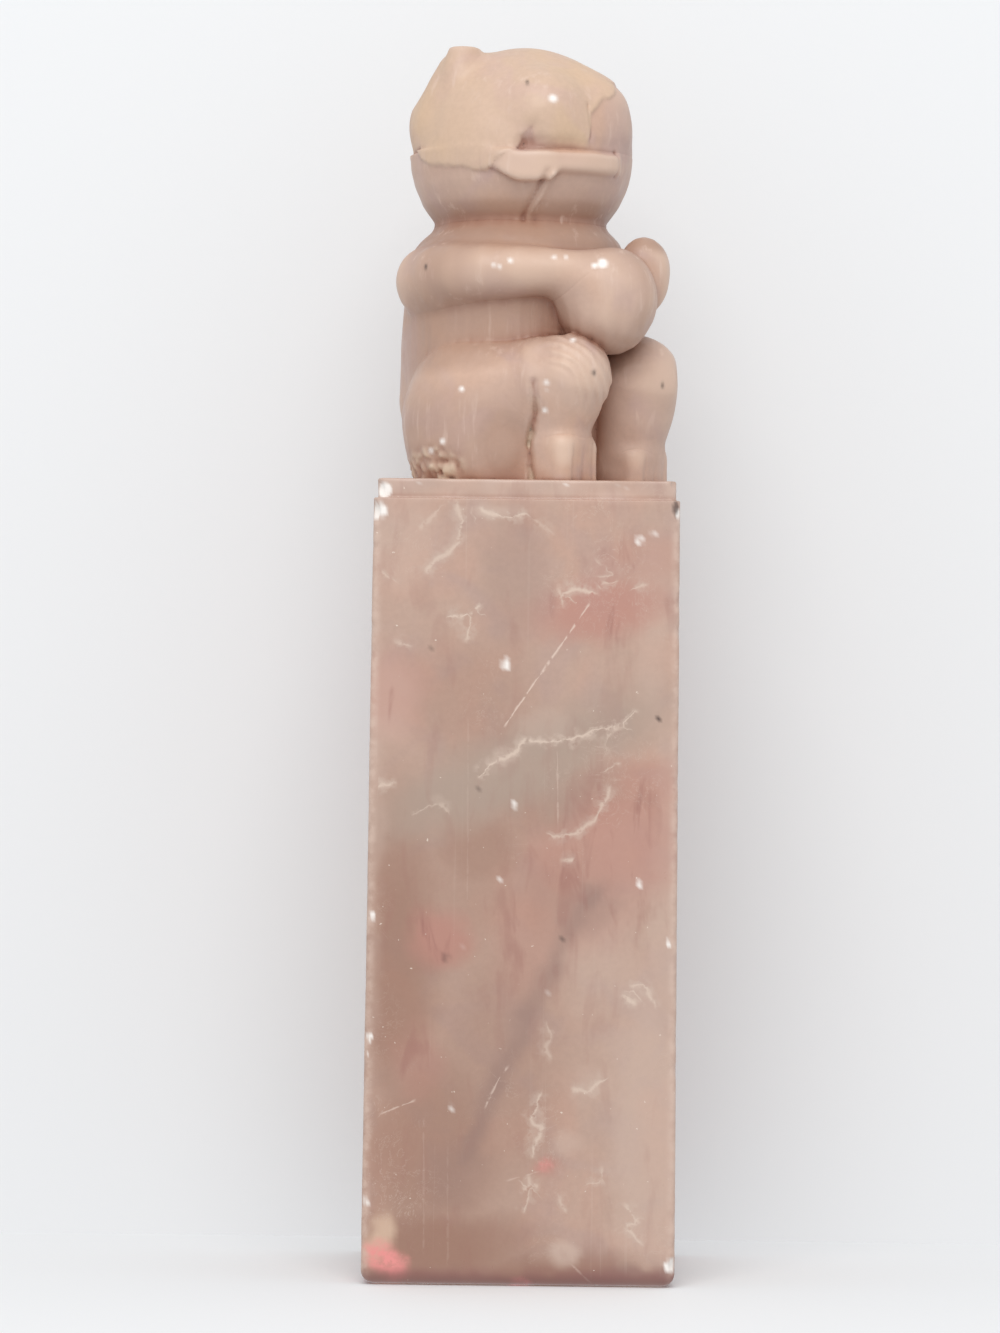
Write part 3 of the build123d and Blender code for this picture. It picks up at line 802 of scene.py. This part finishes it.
def block_marks(points):
    """What the block's stone shows at each point: patches of colour, cracks, nicks and wear."""
    x, y, z = points.T
    wobble = 0.45 * mottle(points, 1.8, 21) + 0.2 * mottle(points, 0.6, 22)
    lift = 0.45 * mottle(points, 1.8, 23) + 0.2 * mottle(points, 0.6, 24)
    depth = y + BAR_HALF
    # a patch on the front runs back into the stone, drifting and fading as it goes
    across, level = x + 0.25 * depth + wobble, z + 0.3 * depth + lift
    front = ramp(depth, 9, 1)
    back = 1 - front
    cloud = {}
    for name, patches, edge, spacing, seed, least in (
        ("pink", PINK, 0.55, 8.0, 31, 0.15), ("band", BAND, 0.5, 9.0, 32, 0.25),
        ("mauve", MAUVE, 0.5, 5.0, 33, 0.3), ("brown", BROWN, 0.7, 9.0, 34, 0.1),
        ("pale", PALE, 0.5, 6.0, 35, 0.25), ("cream", CREAM, 0.5, 7.0, 36, 0.55),
        ("red", RED, 0.4, 4.5, 37, 0.6),
    ):
        own = spread(across, level, patches, edge)
        if name == "mauve":
            strong = 0.7 + 0.25 * mottle(points, 1.5, 38)
            own = np.maximum(own, strong * on_line(across, level, VEIN, 1.25))
        own = own * front
        far = ramp(mottle(points, (spacing, spacing, 1.4 * spacing), seed), least, least + 0.45)
        cloud[name] = np.maximum(own, 0.7 * far * back)
    sides = {
        "front": (y < -BAR_HALF + 0.5, x, CRACKS, SCRATCHES),
        "back": (y > BAR_HALF - 0.5, x, stray_lines(41, 26, 1.6), stray_lines(42, 7, 3.0)),
        "right": (x > BAR_HALF - 0.5, y, stray_lines(43, 24, 1.6), stray_lines(44, 8, 3.0)),
        "left": (x < -BAR_HALF + 0.5, y, stray_lines(45, 28, 1.6), stray_lines(46, 6, 3.0)),
    }
    for name in ("crack", "crack_near", "scratch", "scratch_near"):
        cloud[name] = np.zeros(len(points), np.float32)
    for on_side, run, cracks, scratches in sides.values():
        for name, lines in (("crack", cracks), ("scratch", scratches)):
            aside, strength = line_marks(run[on_side], z[on_side], lines)
            cloud[name][on_side] = aside
            cloud[name + "_near"][on_side] = strength
    on_front = ramp(depth, 0.6, 0.3)
    ragged_x, ragged_z = x + 0.12 * mottle(points, 0.35, 25), z + 0.12 * mottle(points, 0.3, 26)
    cloud["white"] = spread(ragged_x, ragged_z, WHITE_MARKS, 0.35, 0.75) * on_front
    cloud["speck"] = spread(x, z, DARK_MARKS, 0.3, 0.7) * on_front
    corner = np.maximum(block_half(z) - np.abs(x), BAR_HALF - np.abs(y))
    cloud["edge"] = ramp(corner, 0.75, 0.15) * (z > 0.01)
    cloud["foot"] = ramp(z + 0.3 * mottle(points, 0.7, 27), 1.5, 0.4) * (z > 0.01)
    return cloud


def inward_from(points):
    """The way in from each point of a squared bar's skin, slanting where it is near an edge."""
    inward = -np.column_stack([points[:, 0] ** 9, points[:, 1] ** 9, np.zeros(len(points))])
    return inward / np.maximum(np.linalg.norm(inward, axis=1), 1e-6)[:, None]


def bite(points, centre, radius):
    """Points inside a ball, pushed in towards the bar's middle as a chip is struck off an edge."""
    away = points - np.asarray(centre)
    reach = np.linalg.norm(away, axis=1)
    inside = reach < radius
    inward = -np.array([centre[0], centre[1], 0.0])
    inward /= np.linalg.norm(inward)
    depth = radius - reach[inside]
    points[inside] += inward * depth[:, None]
    return points


# chips off the edges: place of the ball, and its radius
CHIPS = (
    (-10.35, -10.35, 50.9, 0.85), (-10.4, -10.4, 24.3, 0.55), (-10.45, -10.4, 16.3, 0.6),
    (-10.45, -10.4, 5.5, 0.5), (10.4, -10.4, 22.7, 0.55), (10.6, -10.3, 1.4, 0.75),
    (10.4, -10.4, 50.9, 0.7), (10.35, 10.35, 37.0, 0.7), (10.5, 10.4, 12.0, 0.8),
    (-10.4, 10.4, 30.0, 0.6), (-10.5, 10.4, 44.0, 0.75), (10.4, 10.3, 51.2, 0.9),
    (-10.5, 10.3, 2.0, 1.0),
)
PLINTH_CHIPS = ((-10.0, -10.1, 52.4, 0.75), (10.0, -10.0, 52.9, 0.6), (10.1, 9.9, 52.5, 0.7))


def carve_block():
    """The block, with an eased top, worn edges, a foot that flares and a sunk pocket below."""
    rows = [(BLOCK_TOP, 0.07), (BLOCK_TOP - 0.03, 0.02), (BLOCK_TOP - 0.12, 0.0)]
    rows += [(level, 0.0) for level in np.linspace(BLOCK_TOP - 0.4, 1.2, 170)]
    for turn in np.radians(range(0, 91, 10)):
        rows.append((FOOT_EASE * (1 - math.sin(turn)), FOOT_EASE * (1 - math.cos(turn))))
    rings = [ring(block_half(z) - inset, BAR_HALF - inset, EDGE_EASE, z) for z, inset in rows]
    outside = np.concatenate(rings)
    inner = BAR_HALF - FOOT_EASE - RIM_WIDTH
    # the foot runs in to the rim, and the pocket for the stamping face goes up from it
    for level, half in (
        (0.0, inner + 0.5), (0.0, inner), (FACE_DEPTH / 2, inner), (FACE_DEPTH, inner),
    ):
        rings.append(ring(half, half, 0.6, level))
    points, faces, caps = wall(rings)
    marks = block_marks(points)
    skin = slice(0, len(outside))
    moved = points[skin].copy()
    worn_edge = marks["edge"][skin] * ramp(mottle(moved, 0.9, 52), 0.1, 0.7)
    uneven = 0.02 + 0.02 * mottle(moved, 5.0, 51) + 0.06 * worn_edge
    moved += inward_from(moved) * uneven[:, None]
    for *centre, radius in CHIPS:
        moved = bite(moved, centre, radius)
        near = np.linalg.norm(points[skin] - np.asarray(centre), axis=1)
        bruise = ramp(near + 0.12 * mottle(points[skin], 0.5, 53), radius, radius - 0.15)
        marks["white"][skin] = np.maximum(marks["white"][skin], 0.9 * bruise)
    points[skin] = moved
    return make_piece("seal_block_stone", points, faces, marks, caps, 35)


def carve_plinth():
    """The thin step, cut by hand, that the animal sits on."""
    half = BAR_HALF - PLINTH_INSET + 0.1
    top_edge = ((0, 0.2), (0.02, 0.1), (0.07, 0.03), (0.17, 0.0))
    rows = [(PLINTH_TOP - drop, inset) for drop, inset in top_edge]
    rows += [(z, 0.0) for z in np.linspace(PLINTH_TOP - 0.3, BLOCK_TOP + 0.2, 5)]
    # a small cove where the plinth meets the block
    rows += [(BLOCK_TOP + 0.07, -0.01), (BLOCK_TOP + 0.02, -0.04), (BLOCK_TOP - 0.02, -0.07)]
    rings = [ring(half - inset, half - inset, EDGE_EASE, z) for z, inset in rows]
    points, faces, caps = wall(rings)
    uneven = 0.05 + 0.05 * mottle(points, (1.6, 1.6, 0.7), 61)
    points += inward_from(points) * uneven[:, None]
    for *centre, radius in PLINTH_CHIPS:
        points = bite(points, centre, radius)
    marks = block_marks(points)
    for name in ("crack_near", "scratch_near"):
        marks[name] *= 0
    near = np.linalg.norm(points - np.array([-9.4, -9.75, 52.3]), axis=1)
    dots = 0.5 * ramp(mottle(points, 0.3, 62), 0.7, 0.85)
    marks["white"] = np.maximum(ramp(near, 0.6, 0.4), dots)
    above = points[:, 2] - BLOCK_TOP
    clouds = 0.5 + 0.4 * ramp(mottle(points, 2.4, 63), 0.0, 0.5)
    marks["pale"] = np.maximum(marks["pale"], clouds) * ramp(above, 0.05, 0.4)
    # painted shade: browner at the foot of the plinth, along the groove where it meets the block
    marks["brown"] = np.maximum(marks["brown"], 0.35 * ramp(above, 0.35, 0.05))
    return make_piece("plinth_stone", points, faces, marks, caps, 35)


def leaf_gap(along, aside, start, length, width):
    """Distance outside a pointed leaf between two equal arcs, below zero inside."""
    radius = (length * length / 4 + width * width / 4) / width
    middle = start + length / 2
    offset = radius - width / 2
    one, other = (np.hypot(along - middle, aside + shift) - radius for shift in (offset, -offset))
    return np.maximum(one, other)


def carve_stamping_face():
    """The relief: a boss, eight petals and four corner leaves, with the ground cut back by hand."""
    half = BAR_HALF - FOOT_EASE - RIM_WIDTH
    count = 150
    line = np.linspace(-half, half, count)
    u, v = (grid.ravel() for grid in np.meshgrid(line, line, indexing="ij"))
    flat = np.column_stack([u, v, np.zeros(len(u))])
    u2, v2 = u + 0.08 * mottle(flat, 1.1, 71), v + 0.08 * mottle(flat, 1.1, 72)
    reach = 2 * half / math.sqrt(2) - 0.6 * (math.sqrt(2) - 1) - 1.2
    boss, gap, petal = 0.15 * reach, 0.06 * reach, 0.35 * reach
    shape = np.hypot(u2, v2) - boss
    start = boss + petal + 2 * gap
    for leaves, first, begin, length, width in (
        (8, 22.5, boss + gap, petal, 0.23 * reach),
        (4, 45, start, reach - start, 0.26 * reach),
    ):
        for index in range(leaves):
            turn = math.radians(first + 360 / leaves * index)
            along = u2 * math.cos(turn) + v2 * math.sin(turn)
            aside = v2 * math.cos(turn) - u2 * math.sin(turn)
            shape = np.minimum(shape, leaf_gap(along, aside, begin, length, width))
    shape = shape + 0.05 * mottle(flat, 0.45, 73)
    cut = ramp(shape, -0.03, 0.22)
    gouges = mottle(np.column_stack([u + v, (u - v) * 0.25, 0 * u]), 0.45, 74)
    low = 0.8 * cut + 0.07 * cut * gouges + 0.02 * (1 - cut) * ramp(mottle(flat, 0.5, 75), 0.2, 0.7)
    bottom = np.column_stack([u, v, np.clip(low, 0, 0.9)])
    top = np.column_stack([u, v, np.full(len(u), FACE_DEPTH - 0.01)])
    number = np.arange(count * count).reshape(count, count)
    a, b, c, d = number[:-1, :-1], number[1:, :-1], number[1:, 1:], number[:-1, 1:]
    under = np.stack([a, d, c, b], axis=-1).reshape(-1, 4)
    over = np.stack([a, b, c, d], axis=-1).reshape(-1, 4) + count * count
    rim = np.concatenate([number[:-1, 0], number[-1, :-1], number[:0:-1, -1], number[0, :0:-1]])
    after = np.roll(rim, -1)
    edge = np.stack([rim, after, after + count * count, rim + count * count], axis=1)
    points = np.concatenate([bottom, top])
    paste = (1 - cut) * ramp(mottle(flat, 1.3, 76), -0.5, 0.3) + 0.55 * cut * ramp(shape, 0.7, 0.1)
    plain = np.zeros(len(top))
    marks = {"paste": np.concatenate([paste, plain]), "sunk": np.concatenate([cut, plain])}
    faces = np.concatenate([under, over, edge])
    return make_piece("stamping_face_stone", points, faces, marks, None, 35)


# Finishes

def colour(red, green, blue):
    """A colour written as it looks on a screen, from 0 to 255."""
    shares = (level / 255 for level in (red, green, blue))
    return tuple(c / 12.92 if c < 0.0404 else ((c + 0.055) / 1.055) ** 2.4 for c in shares) + (1,)


class Nodes:
    """Short ways to add nodes to one material or group."""

    def __init__(self, tree):
        self.tree = tree

    def add(self, kind, **settings):
        node = self.tree.nodes.new(kind)
        for name, value in settings.items():
            setattr(node, name, value)
        return node

    def join(self, source, target):
        if isinstance(source, (int, float, tuple)):
            target.default_value = source
        else:
            self.tree.links.new(source, target)

    def mark(self, name):
        return self.add("ShaderNodeAttribute", attribute_name=name).outputs["Fac"]

    def sum(self, operation, a, b=0.0, c=0.0, clamp=False):
        node = self.add("ShaderNodeMath", operation=operation, use_clamp=clamp)
        for value, socket in zip((a, b, c), node.inputs):
            self.join(value, socket)
        return node.outputs[0]

    def ramp(self, value, low, high, to_low=0.0, to_high=1.0):
        node = self.add("ShaderNodeMapRange", interpolation_type="SMOOTHSTEP")
        for source, socket in zip((value, low, high, to_low, to_high), node.inputs):
            self.join(source, socket)
        return node.outputs[0]

    def mix(self, share, under, over):
        node = self.add("ShaderNodeMix", data_type="RGBA")
        self.join(share, node.inputs[0])
        self.join(under, node.inputs[6])
        self.join(over, node.inputs[7])
        return node.outputs[2]

    def lay(self, shade, mask, share, tint):
        """A screen colour laid over a shade where the mask is, at its share of full strength."""
        if share != 1.0:
            mask = self.sum("MULTIPLY", mask, share)
        return self.mix(mask, shade, colour(*tint))

    def noise(self, place, scale, detail=3.0, rough=0.5, bend=0.0):
        node = self.add("ShaderNodeTexNoise")
        self.join(place, node.inputs["Vector"])
        node.inputs["Scale"].default_value = scale
        node.inputs["Detail"].default_value = detail
        node.inputs["Roughness"].default_value = rough
        node.inputs["Distortion"].default_value = bend
        return node.outputs["Fac"]

    def place(self, stretch=(1, 1, 1)):
        source = self.add("ShaderNodeTexCoord").outputs["Object"]
        node = self.add("ShaderNodeMapping")
        self.join(source, node.inputs["Vector"])
        node.inputs["Scale"].default_value = stretch
        return node.outputs[0]


def new_group(name, inputs, outputs):
    """A shader group from its inputs' first values and its outputs' kinds."""
    tree = bpy.data.node_groups.new(name, "ShaderNodeTree")
    for label, value in inputs:
        kind = "NodeSocketColor" if isinstance(value, tuple) else "NodeSocketFloat"
        tree.interface.new_socket(label, in_out="INPUT", socket_type=kind).default_value = value
    for label, kind in outputs:
        tree.interface.new_socket(label, in_out="OUTPUT", socket_type=kind)
    into, out = tree.nodes.new("NodeGroupInput"), tree.nodes.new("NodeGroupOutput")
    return tree, Nodes(tree), into.outputs, out.inputs


def stone_grain_group():
    """Soft clouds and fine flecks in the stone's own colour, with a height for each."""
    tree, n, into, out = new_group(
        "stone_grain",
        [
            ("Colour", (0.5, 0.4, 0.3, 1)),
            ("Warm", (0.5, 0.3, 0.25, 1)),
            ("Cool", (0.4, 0.35, 0.3, 1)),
            ("Strength", 1.0),
        ],
        [("Colour", "NodeSocketColor"), ("Height", "NodeSocketFloat")],
    )
    place = n.place()
    warm = n.ramp(n.noise(place, 150, 2, 0.5, 0.6), 0.42, 0.68)
    cool = n.ramp(n.noise(place, 240, 2, 0.5, 0.9), 0.45, 0.7)
    shade = into["Colour"]
    for patch, share, tint in ((warm, 0.55, into["Warm"]), (cool, 0.45, into["Cool"])):
        strong = n.sum("MULTIPLY", into["Strength"], share)
        shade = n.mix(n.sum("MULTIPLY", patch, strong), shade, tint)
    fine = n.noise(place, 2600, 3, 0.6)
    light = n.ramp(fine, 0.3, 0.7, 0.975, 1.025)
    dark = n.add("ShaderNodeVectorMath", operation="SCALE")
    n.join(shade, dark.inputs[0])
    n.join(light, dark.inputs["Scale"])
    n.join(dark.outputs[0], out["Colour"])
    n.join(n.noise(place, 1500, 4, 0.6), out["Height"])
    return tree


def line_group():
    """A fine ragged line, from how far aside a place is and how strong the line is there."""
    tree, n, into, out = new_group(
        "ragged_line",
        [("Aside", 1.0), ("Strength", 0.0), ("Width", 0.05), ("Wander", 0.1), ("Breaks", 0.5)],
        [("Line", "NodeSocketFloat")],
    )
    place = n.place()
    wander = n.sum("MULTIPLY", n.sum("SUBTRACT", n.noise(place, 1000, 4, 0.6), 0.5), into["Wander"])
    swell = n.ramp(n.noise(place, 850, 2, 0.5), 0.36, 0.64, 0.5, 2.2)
    width = n.sum("MULTIPLY", into["Width"], swell)
    aside = n.sum("ABSOLUTE", n.sum("MULTIPLY_ADD", wander, 2.0, into["Aside"]))
    line = n.sum("SUBTRACT", 1.0, n.ramp(aside, 0.0, width))
    low, high = n.sum("SUBTRACT", into["Breaks"], 0.12), n.sum("ADD", into["Breaks"], 0.04)
    breaks = n.ramp(n.noise(place, 2200, 2, 0.5), low, high)
    whole = n.sum("MULTIPLY", line, n.sum("MULTIPLY", breaks, into["Strength"]))
    n.join(whole, out["Line"])
    return tree


def hairline_group():
    """Faint upright polishing lines, here and there."""
    tree, n, into, out = new_group(
        "polish_lines",
        [("Amount", 1.0)],
        [("Lines", "NodeSocketFloat"), ("Height", "NodeSocketFloat")],
    )
    upright = n.noise(n.place((1, 1, 0.012)), 2600, 2, 0.7)
    patchy = n.ramp(n.noise(n.place((1, 1, 0.3)), 260, 2, 0.5), 0.45, 0.7)
    lines = n.sum("MULTIPLY", n.ramp(upright, 0.62, 0.72), patchy)
    n.join(n.sum("MULTIPLY", lines, into["Amount"]), out["Lines"])
    n.join(upright, out["Height"])
    return tree


STONE_GRAIN, RAGGED_LINE, POLISH_LINES = stone_grain_group(), line_group(), hairline_group()


def use_group(n, group, **values):
    node = n.add("ShaderNodeGroup", node_tree=group)
    for name, value in values.items():
        n.join(value, node.inputs[name])
    return node.outputs


def stone_grain(n, own, warm, cool, strength):
    """The grain group in a stone's own colour, with its warmer and cooler clouds."""
    tints = {"Colour": colour(*own), "Warm": colour(*warm), "Cool": colour(*cool)}
    return use_group(n, STONE_GRAIN, Strength=strength, **tints)


def new_material(name):
    material = bpy.data.materials.new(name)
    material.use_nodes = True
    return material, material.node_tree


def bump(n, shader, height, distance, strength=1.0):
    node = n.add("ShaderNodeBump")
    node.inputs["Strength"].default_value = strength
    node.inputs["Distance"].default_value = distance
    n.join(height, node.inputs["Height"])
    n.join(node.outputs[0], shader.inputs["Normal"])


def make_figure_stone():
    """The animal's duller stone: a pale sheet on the head, painted red-brown shade in creases,
    hollows and recesses, a painted highlight on bulges, and paler sharp ridges.
    """
    material, tree = new_material("figure_stone")
    n, shader = Nodes(tree), tree.nodes["Principled BSDF"]
    grain = stone_grain(n, (199, 168, 151), (208, 169, 144), (192, 162, 154), 1.3)
    shade = grain["Colour"]
    tan = stone_grain(n, (210, 180, 157), (216, 184, 152), (206, 174, 160), 1.2)
    # painted highlight: paler colour where the skin bulges out
    proud = n.ramp(n.mark("hollow"), -0.05, -0.7)
    shade = n.lay(shade, proud, 0.8, (220, 190, 169))
    shade = n.mix(n.mark("sheet"), shade, tan["Colour"])
    shade = n.lay(shade, n.mark("painted_recess_shade"), 0.85, (166, 131, 112))
    # painted shade: darker, redder colour in broad hollows and in creases
    hollow = n.ramp(n.mark("hollow"), 0.08, 0.95)
    crease = n.ramp(n.mark("crease"), 0.15, 1.0)
    sharp_ridge = n.ramp(n.mark("crease"), -0.25, -1.1)
    shade = n.lay(shade, hollow, 0.62, (166, 118, 96))
    shade = n.lay(shade, crease, 0.6, (140, 92, 74))
    # paler colour on sharp ridges
    shade = n.lay(shade, sharp_ridge, 0.35, (226, 203, 187))
    knife = n.noise(n.place((1, 1, 0.12)), 1700, 3, 0.6)
    patchy = n.ramp(n.noise(n.place(), 240, 2, 0.5), 0.4, 0.65)
    strokes = n.sum("MULTIPLY", n.ramp(knife, 0.54, 0.72), patchy)
    shade = n.lay(shade, strokes, 0.4, (226, 200, 184))
    # dirt and painted shade: dark patches deep in the creases
    dirt_and_shade_patches = n.ramp(n.noise(n.place(), 1900, 3, 0.7), 0.56, 0.64)
    crease_dirt_and_shade = n.sum("MULTIPLY", dirt_and_shade_patches, n.ramp(n.mark("crease"), 0.5, 1.3))
    shade = n.lay(shade, crease_dirt_and_shade, 1.0, (84, 66, 56))
    shade = n.lay(shade, n.mark("flakes"), 0.7, (226, 208, 184))
    # white nicks, and glints of light painted as white spots
    shade = n.lay(shade, n.mark("white"), 1.0, (252, 246, 240))
    shade = n.lay(shade, n.mark("speck"), 1.0, (70, 60, 56))
    n.join(shade, shader.inputs["Base Color"])
    height = n.sum("ADD", n.sum("MULTIPLY", grain["Height"], 0.6), n.sum("MULTIPLY", knife, 0.5))
    bump(n, shader, height, 0.04 * MM, 0.5)
    rough = n.ramp(n.noise(n.place(), 700, 3, 0.6), 0.3, 0.7, 0.36, 0.54)
    dull = n.sum("MULTIPLY", n.mark("flakes"), 0.25)
    n.join(n.sum("ADD", rough, dull), shader.inputs["Roughness"])
    shader.inputs["Specular IOR Level"].default_value = 0.4
    return material


def make_block_stone():
    """The block's polished stone, clouded pink, grey-green and mauve, with pale cracks."""
    material, tree = new_material("block_stone")
    n, shader = Nodes(tree), tree.nodes["Principled BSDF"]
    grain = stone_grain(n, (190, 159, 142), (198, 158, 139), (180, 152, 142), 1.0)
    shade = grain["Colour"]
    for name, share, tint in (
        ("brown", 0.85, (147, 104, 85)),
        ("band", 0.75, (170, 150, 135)),
        ("pale", 0.65, (208, 182, 166)),
        ("pink", 0.7, (188, 132, 118)),
        ("mauve", 0.75, (148, 118, 108)),
        ("cream", 0.8, (222, 190, 164)),
    ):
        shade = n.lay(shade, n.mark(name), share, tint)
    # darker streaks run down through the pink
    streaks = n.ramp(n.noise(n.place((1, 1, 0.3)), 620, 3, 0.6, 0.5), 0.52, 0.7)
    streaky = n.sum("MULTIPLY", streaks, n.sum("MULTIPLY_ADD", n.mark("pink"), 0.62, 0.16))
    shade = n.lay(shade, streaky, 1.0, (154, 104, 94))
    red = n.ramp(n.noise(n.place(), 1300, 3, 0.6), 0.35, 0.6, 0.55, 1.0)
    shade = n.lay(shade, n.mark("red"), red, (236, 148, 142))
    # faint pale threads all through the stone
    threads = n.noise(n.place(), 420, 5, 0.65, 2.2)
    thread = n.ramp(n.sum("ABSOLUTE", n.sum("SUBTRACT", threads, 0.5)), 0.012, 0.0)
    patchy = n.ramp(n.noise(n.place(), 150, 2, 0.5), 0.5, 0.7)
    shade = n.lay(shade, n.sum("MULTIPLY", thread, patchy), 0.4, (214, 192, 176))
    crack, halo, scratch = (
        use_group(
            n, RAGGED_LINE, Aside=n.mark(mark), Strength=n.mark(mark + "_near"),
            Width=width, Wander=wander, Breaks=breaks,
        )
        for mark, width, wander, breaks in (
            ("crack", 0.12, 0.36, 0.44), ("crack", 0.4, 1.1, 0.36), ("scratch", 0.07, 0.06, 0.46),
        )
    )
    polish = use_group(n, POLISH_LINES, Amount=1.0)
    shade = n.lay(shade, halo["Line"], 0.5, (206, 184, 168))
    shade = n.lay(shade, crack["Line"], 0.6, (226, 204, 186))
    shade = n.lay(shade, scratch["Line"], 0.75, (230, 206, 190))
    shade = n.lay(shade, polish["Lines"], 0.16, (216, 194, 178))
    rubbed = n.ramp(n.noise(n.place(), 900, 3, 0.6), 0.35, 0.65, 0.15, 0.7)
    wear = n.sum("MULTIPLY", n.mark("edge"), rubbed)
    shade = n.lay(shade, wear, 1.0, (216, 190, 174))
    shade = n.lay(shade, n.mark("foot"), 0.7, (136, 88, 82))
    flecks = n.ramp(n.noise(n.place(), 3100, 2, 0.5), 0.755, 0.775)
    shade = n.lay(shade, flecks, 0.7, (236, 220, 204))
    shade = n.lay(shade, n.mark("white"), 1.0, (250, 243, 236))
    shade = n.lay(shade, n.mark("speck"), 1.0, (84, 66, 60))
    n.join(shade, shader.inputs["Base Color"])
    open_line = n.sum("MAXIMUM", crack["Line"], scratch["Line"])
    polished = n.sum("MULTIPLY", polish["Height"], 0.12)
    height = n.sum("SUBTRACT", polished, n.sum("MULTIPLY", open_line, 0.6))
    bump(n, shader, height, 0.03 * MM, 0.5)
    dull = n.sum("MAXIMUM", n.mark("white"), n.sum("MULTIPLY", n.mark("edge"), 0.5))
    smooth = n.ramp(n.noise(n.place(), 500, 3, 0.6), 0.3, 0.7, 0.26, 0.4)
    n.join(n.sum("MULTIPLY_ADD", dull, 0.4, smooth), shader.inputs["Roughness"])
    shader.inputs["Specular IOR Level"].default_value = 0.5
    shader.inputs["Coat Weight"].default_value = 0.15
    shader.inputs["Coat Roughness"].default_value = 0.12
    return material


def make_face_stone():
    """The cut face, pale and dull where the knife went, with red seal paste left on the relief."""
    material, tree = new_material("face_stone")
    n, shader = Nodes(tree), tree.nodes["Principled BSDF"]
    grain = stone_grain(n, (198, 168, 152), (202, 164, 146), (184, 156, 146), 1.0)
    cut = n.ramp(n.noise(n.place((1, 0.2, 1)), 1500, 3, 0.6), 0.4, 0.7, 0.2, 0.7)
    shade = n.mix(n.sum("MULTIPLY", n.mark("sunk"), cut), grain["Colour"], colour(222, 202, 188))
    patchy = n.ramp(n.noise(n.place(), 1100, 4, 0.65), 0.3, 0.58)
    paste = n.sum("MULTIPLY", n.mark("paste"), patchy)
    shade = n.lay(shade, paste, 0.85, (176, 56, 46))
    n.join(shade, shader.inputs["Base Color"])
    bump(n, shader, grain["Height"], 0.05 * MM, 0.6)
    n.join(n.ramp(paste, 0.0, 1.0, 0.6, 0.42), shader.inputs["Roughness"])
    shader.inputs["Specular IOR Level"].default_value = 0.4
    return material


figure_stone, block_stone, face_stone = make_figure_stone(), make_block_stone(), make_face_stone()

FIGURE_SLOTS = {
    "head": "head_stone",
    "right_ear": "head_stone",
    "left_ear": "head_stone",
    "held_fruit": "fruit_stone",
}

dressed = [
    (node, piece, figure_stone, FIGURE_SLOTS.get(node, "figure_stone"))
    for node, piece in sculpt_animal().items()
]
dressed += [
    ("seal_block", carve_block(), block_stone, "block_stone"),
    ("plinth", carve_plinth(), block_stone, "block_stone"),
    ("stamping_face", carve_stamping_face(), face_stone, "face_stone"),
]
for node, piece, stone, slot in dressed:
    piece.data.materials.append(stone)
    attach(piece, "root")
    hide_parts(node)


# Stage, light and camera

def make_sheet(name, corners):
    """A pale sheet that only the camera sees, from its front, with no shadow or bounce."""
    mesh = bpy.data.meshes.new(name)
    mesh.from_pydata([tuple(c * MM for c in corner) for corner in corners], [], [(0, 1, 2, 3)])
    material, tree = new_material(name)
    n, shader = Nodes(tree), tree.nodes["Principled BSDF"]
    shader.inputs["Base Color"].default_value = PAPER_TINT
    shader.inputs["Roughness"].default_value = 0.9
    shader.inputs["Specular IOR Level"].default_value = 0.1
    camera_ray = n.add("ShaderNodeLightPath").outputs["Is Camera Ray"]
    from_behind = n.add("ShaderNodeNewGeometry").outputs["Backfacing"]
    mix = n.add("ShaderNodeMixShader")
    n.join(n.sum("SUBTRACT", camera_ray, from_behind, clamp=True), mix.inputs[0])
    n.join(n.add("ShaderNodeBsdfTransparent").outputs[0], mix.inputs[1])
    n.join(shader.outputs[0], mix.inputs[2])
    n.join(mix.outputs[0], tree.nodes["Material Output"].inputs[0])
    mesh.materials.append(material)
    add_object(name, mesh)


# corners of each sheet: which way across, then how far back and up
make_sheet(
    "paper",
    [
        (side * STAGE_REACH, PAPER_BACK, level)
        for side, level in ((-1, FLOOR_LEVEL), (1, FLOOR_LEVEL), (1, PAPER_TOP), (-1, PAPER_TOP))
    ],
)
make_sheet(
    "floor",
    [
        (side * STAGE_REACH, back * STAGE_REACH, FLOOR_LEVEL)
        for side, back in ((-1, -1), (1, -1), (1, 1), (-1, 1))
    ],
)

world = bpy.data.worlds.new("studio")
bpy.context.scene.world = world
world.use_nodes = True
sky = world.node_tree.nodes["Background"]
sky.inputs["Color"].default_value = SKY_TINT
sky.inputs["Strength"].default_value = SKY_STRENGTH


def make_lamp(name, place, aim, size, power, tint):
    """A round lamp that shines from its place at its aim, both in millimetres."""
    data = bpy.data.lights.new(name, "AREA")
    data.shape = "DISK"
    data.size = size
    data.energy = power
    data.color = tint
    lamp = add_object(name, data)
    lamp.location = [c * MM for c in place]
    gap = [(a - p) * MM for a, p in zip(aim, place)]
    lamp.rotation_euler = Vector(gap).to_track_quat("-Z", "Y").to_euler()


# one large soft lamp, almost frontal and a little warm
make_lamp(
    "key", place=(-35, -440, 475), aim=(0, 0, 42), size=0.5, power=2.0, tint=(1.0, 0.985, 0.965)
)

camera_data = bpy.data.cameras.new("camera")
camera_data.sensor_width = 36.0
camera_data.lens = CAMERA_LENS
camera_data.clip_start = 0.01
camera = add_object("camera", camera_data)
camera.location = [c * MM for c in CAMERA_PLACE]
camera.rotation_mode = "QUATERNION"
camera.rotation_quaternion = (
    Matrix.Rotation(-LEAN, 3, "Y") @ Matrix.Rotation(math.radians(90), 3, "X")
).to_quaternion()
bpy.context.scene.camera = camera
bpy.context.scene.view_settings.view_transform = "Standard"
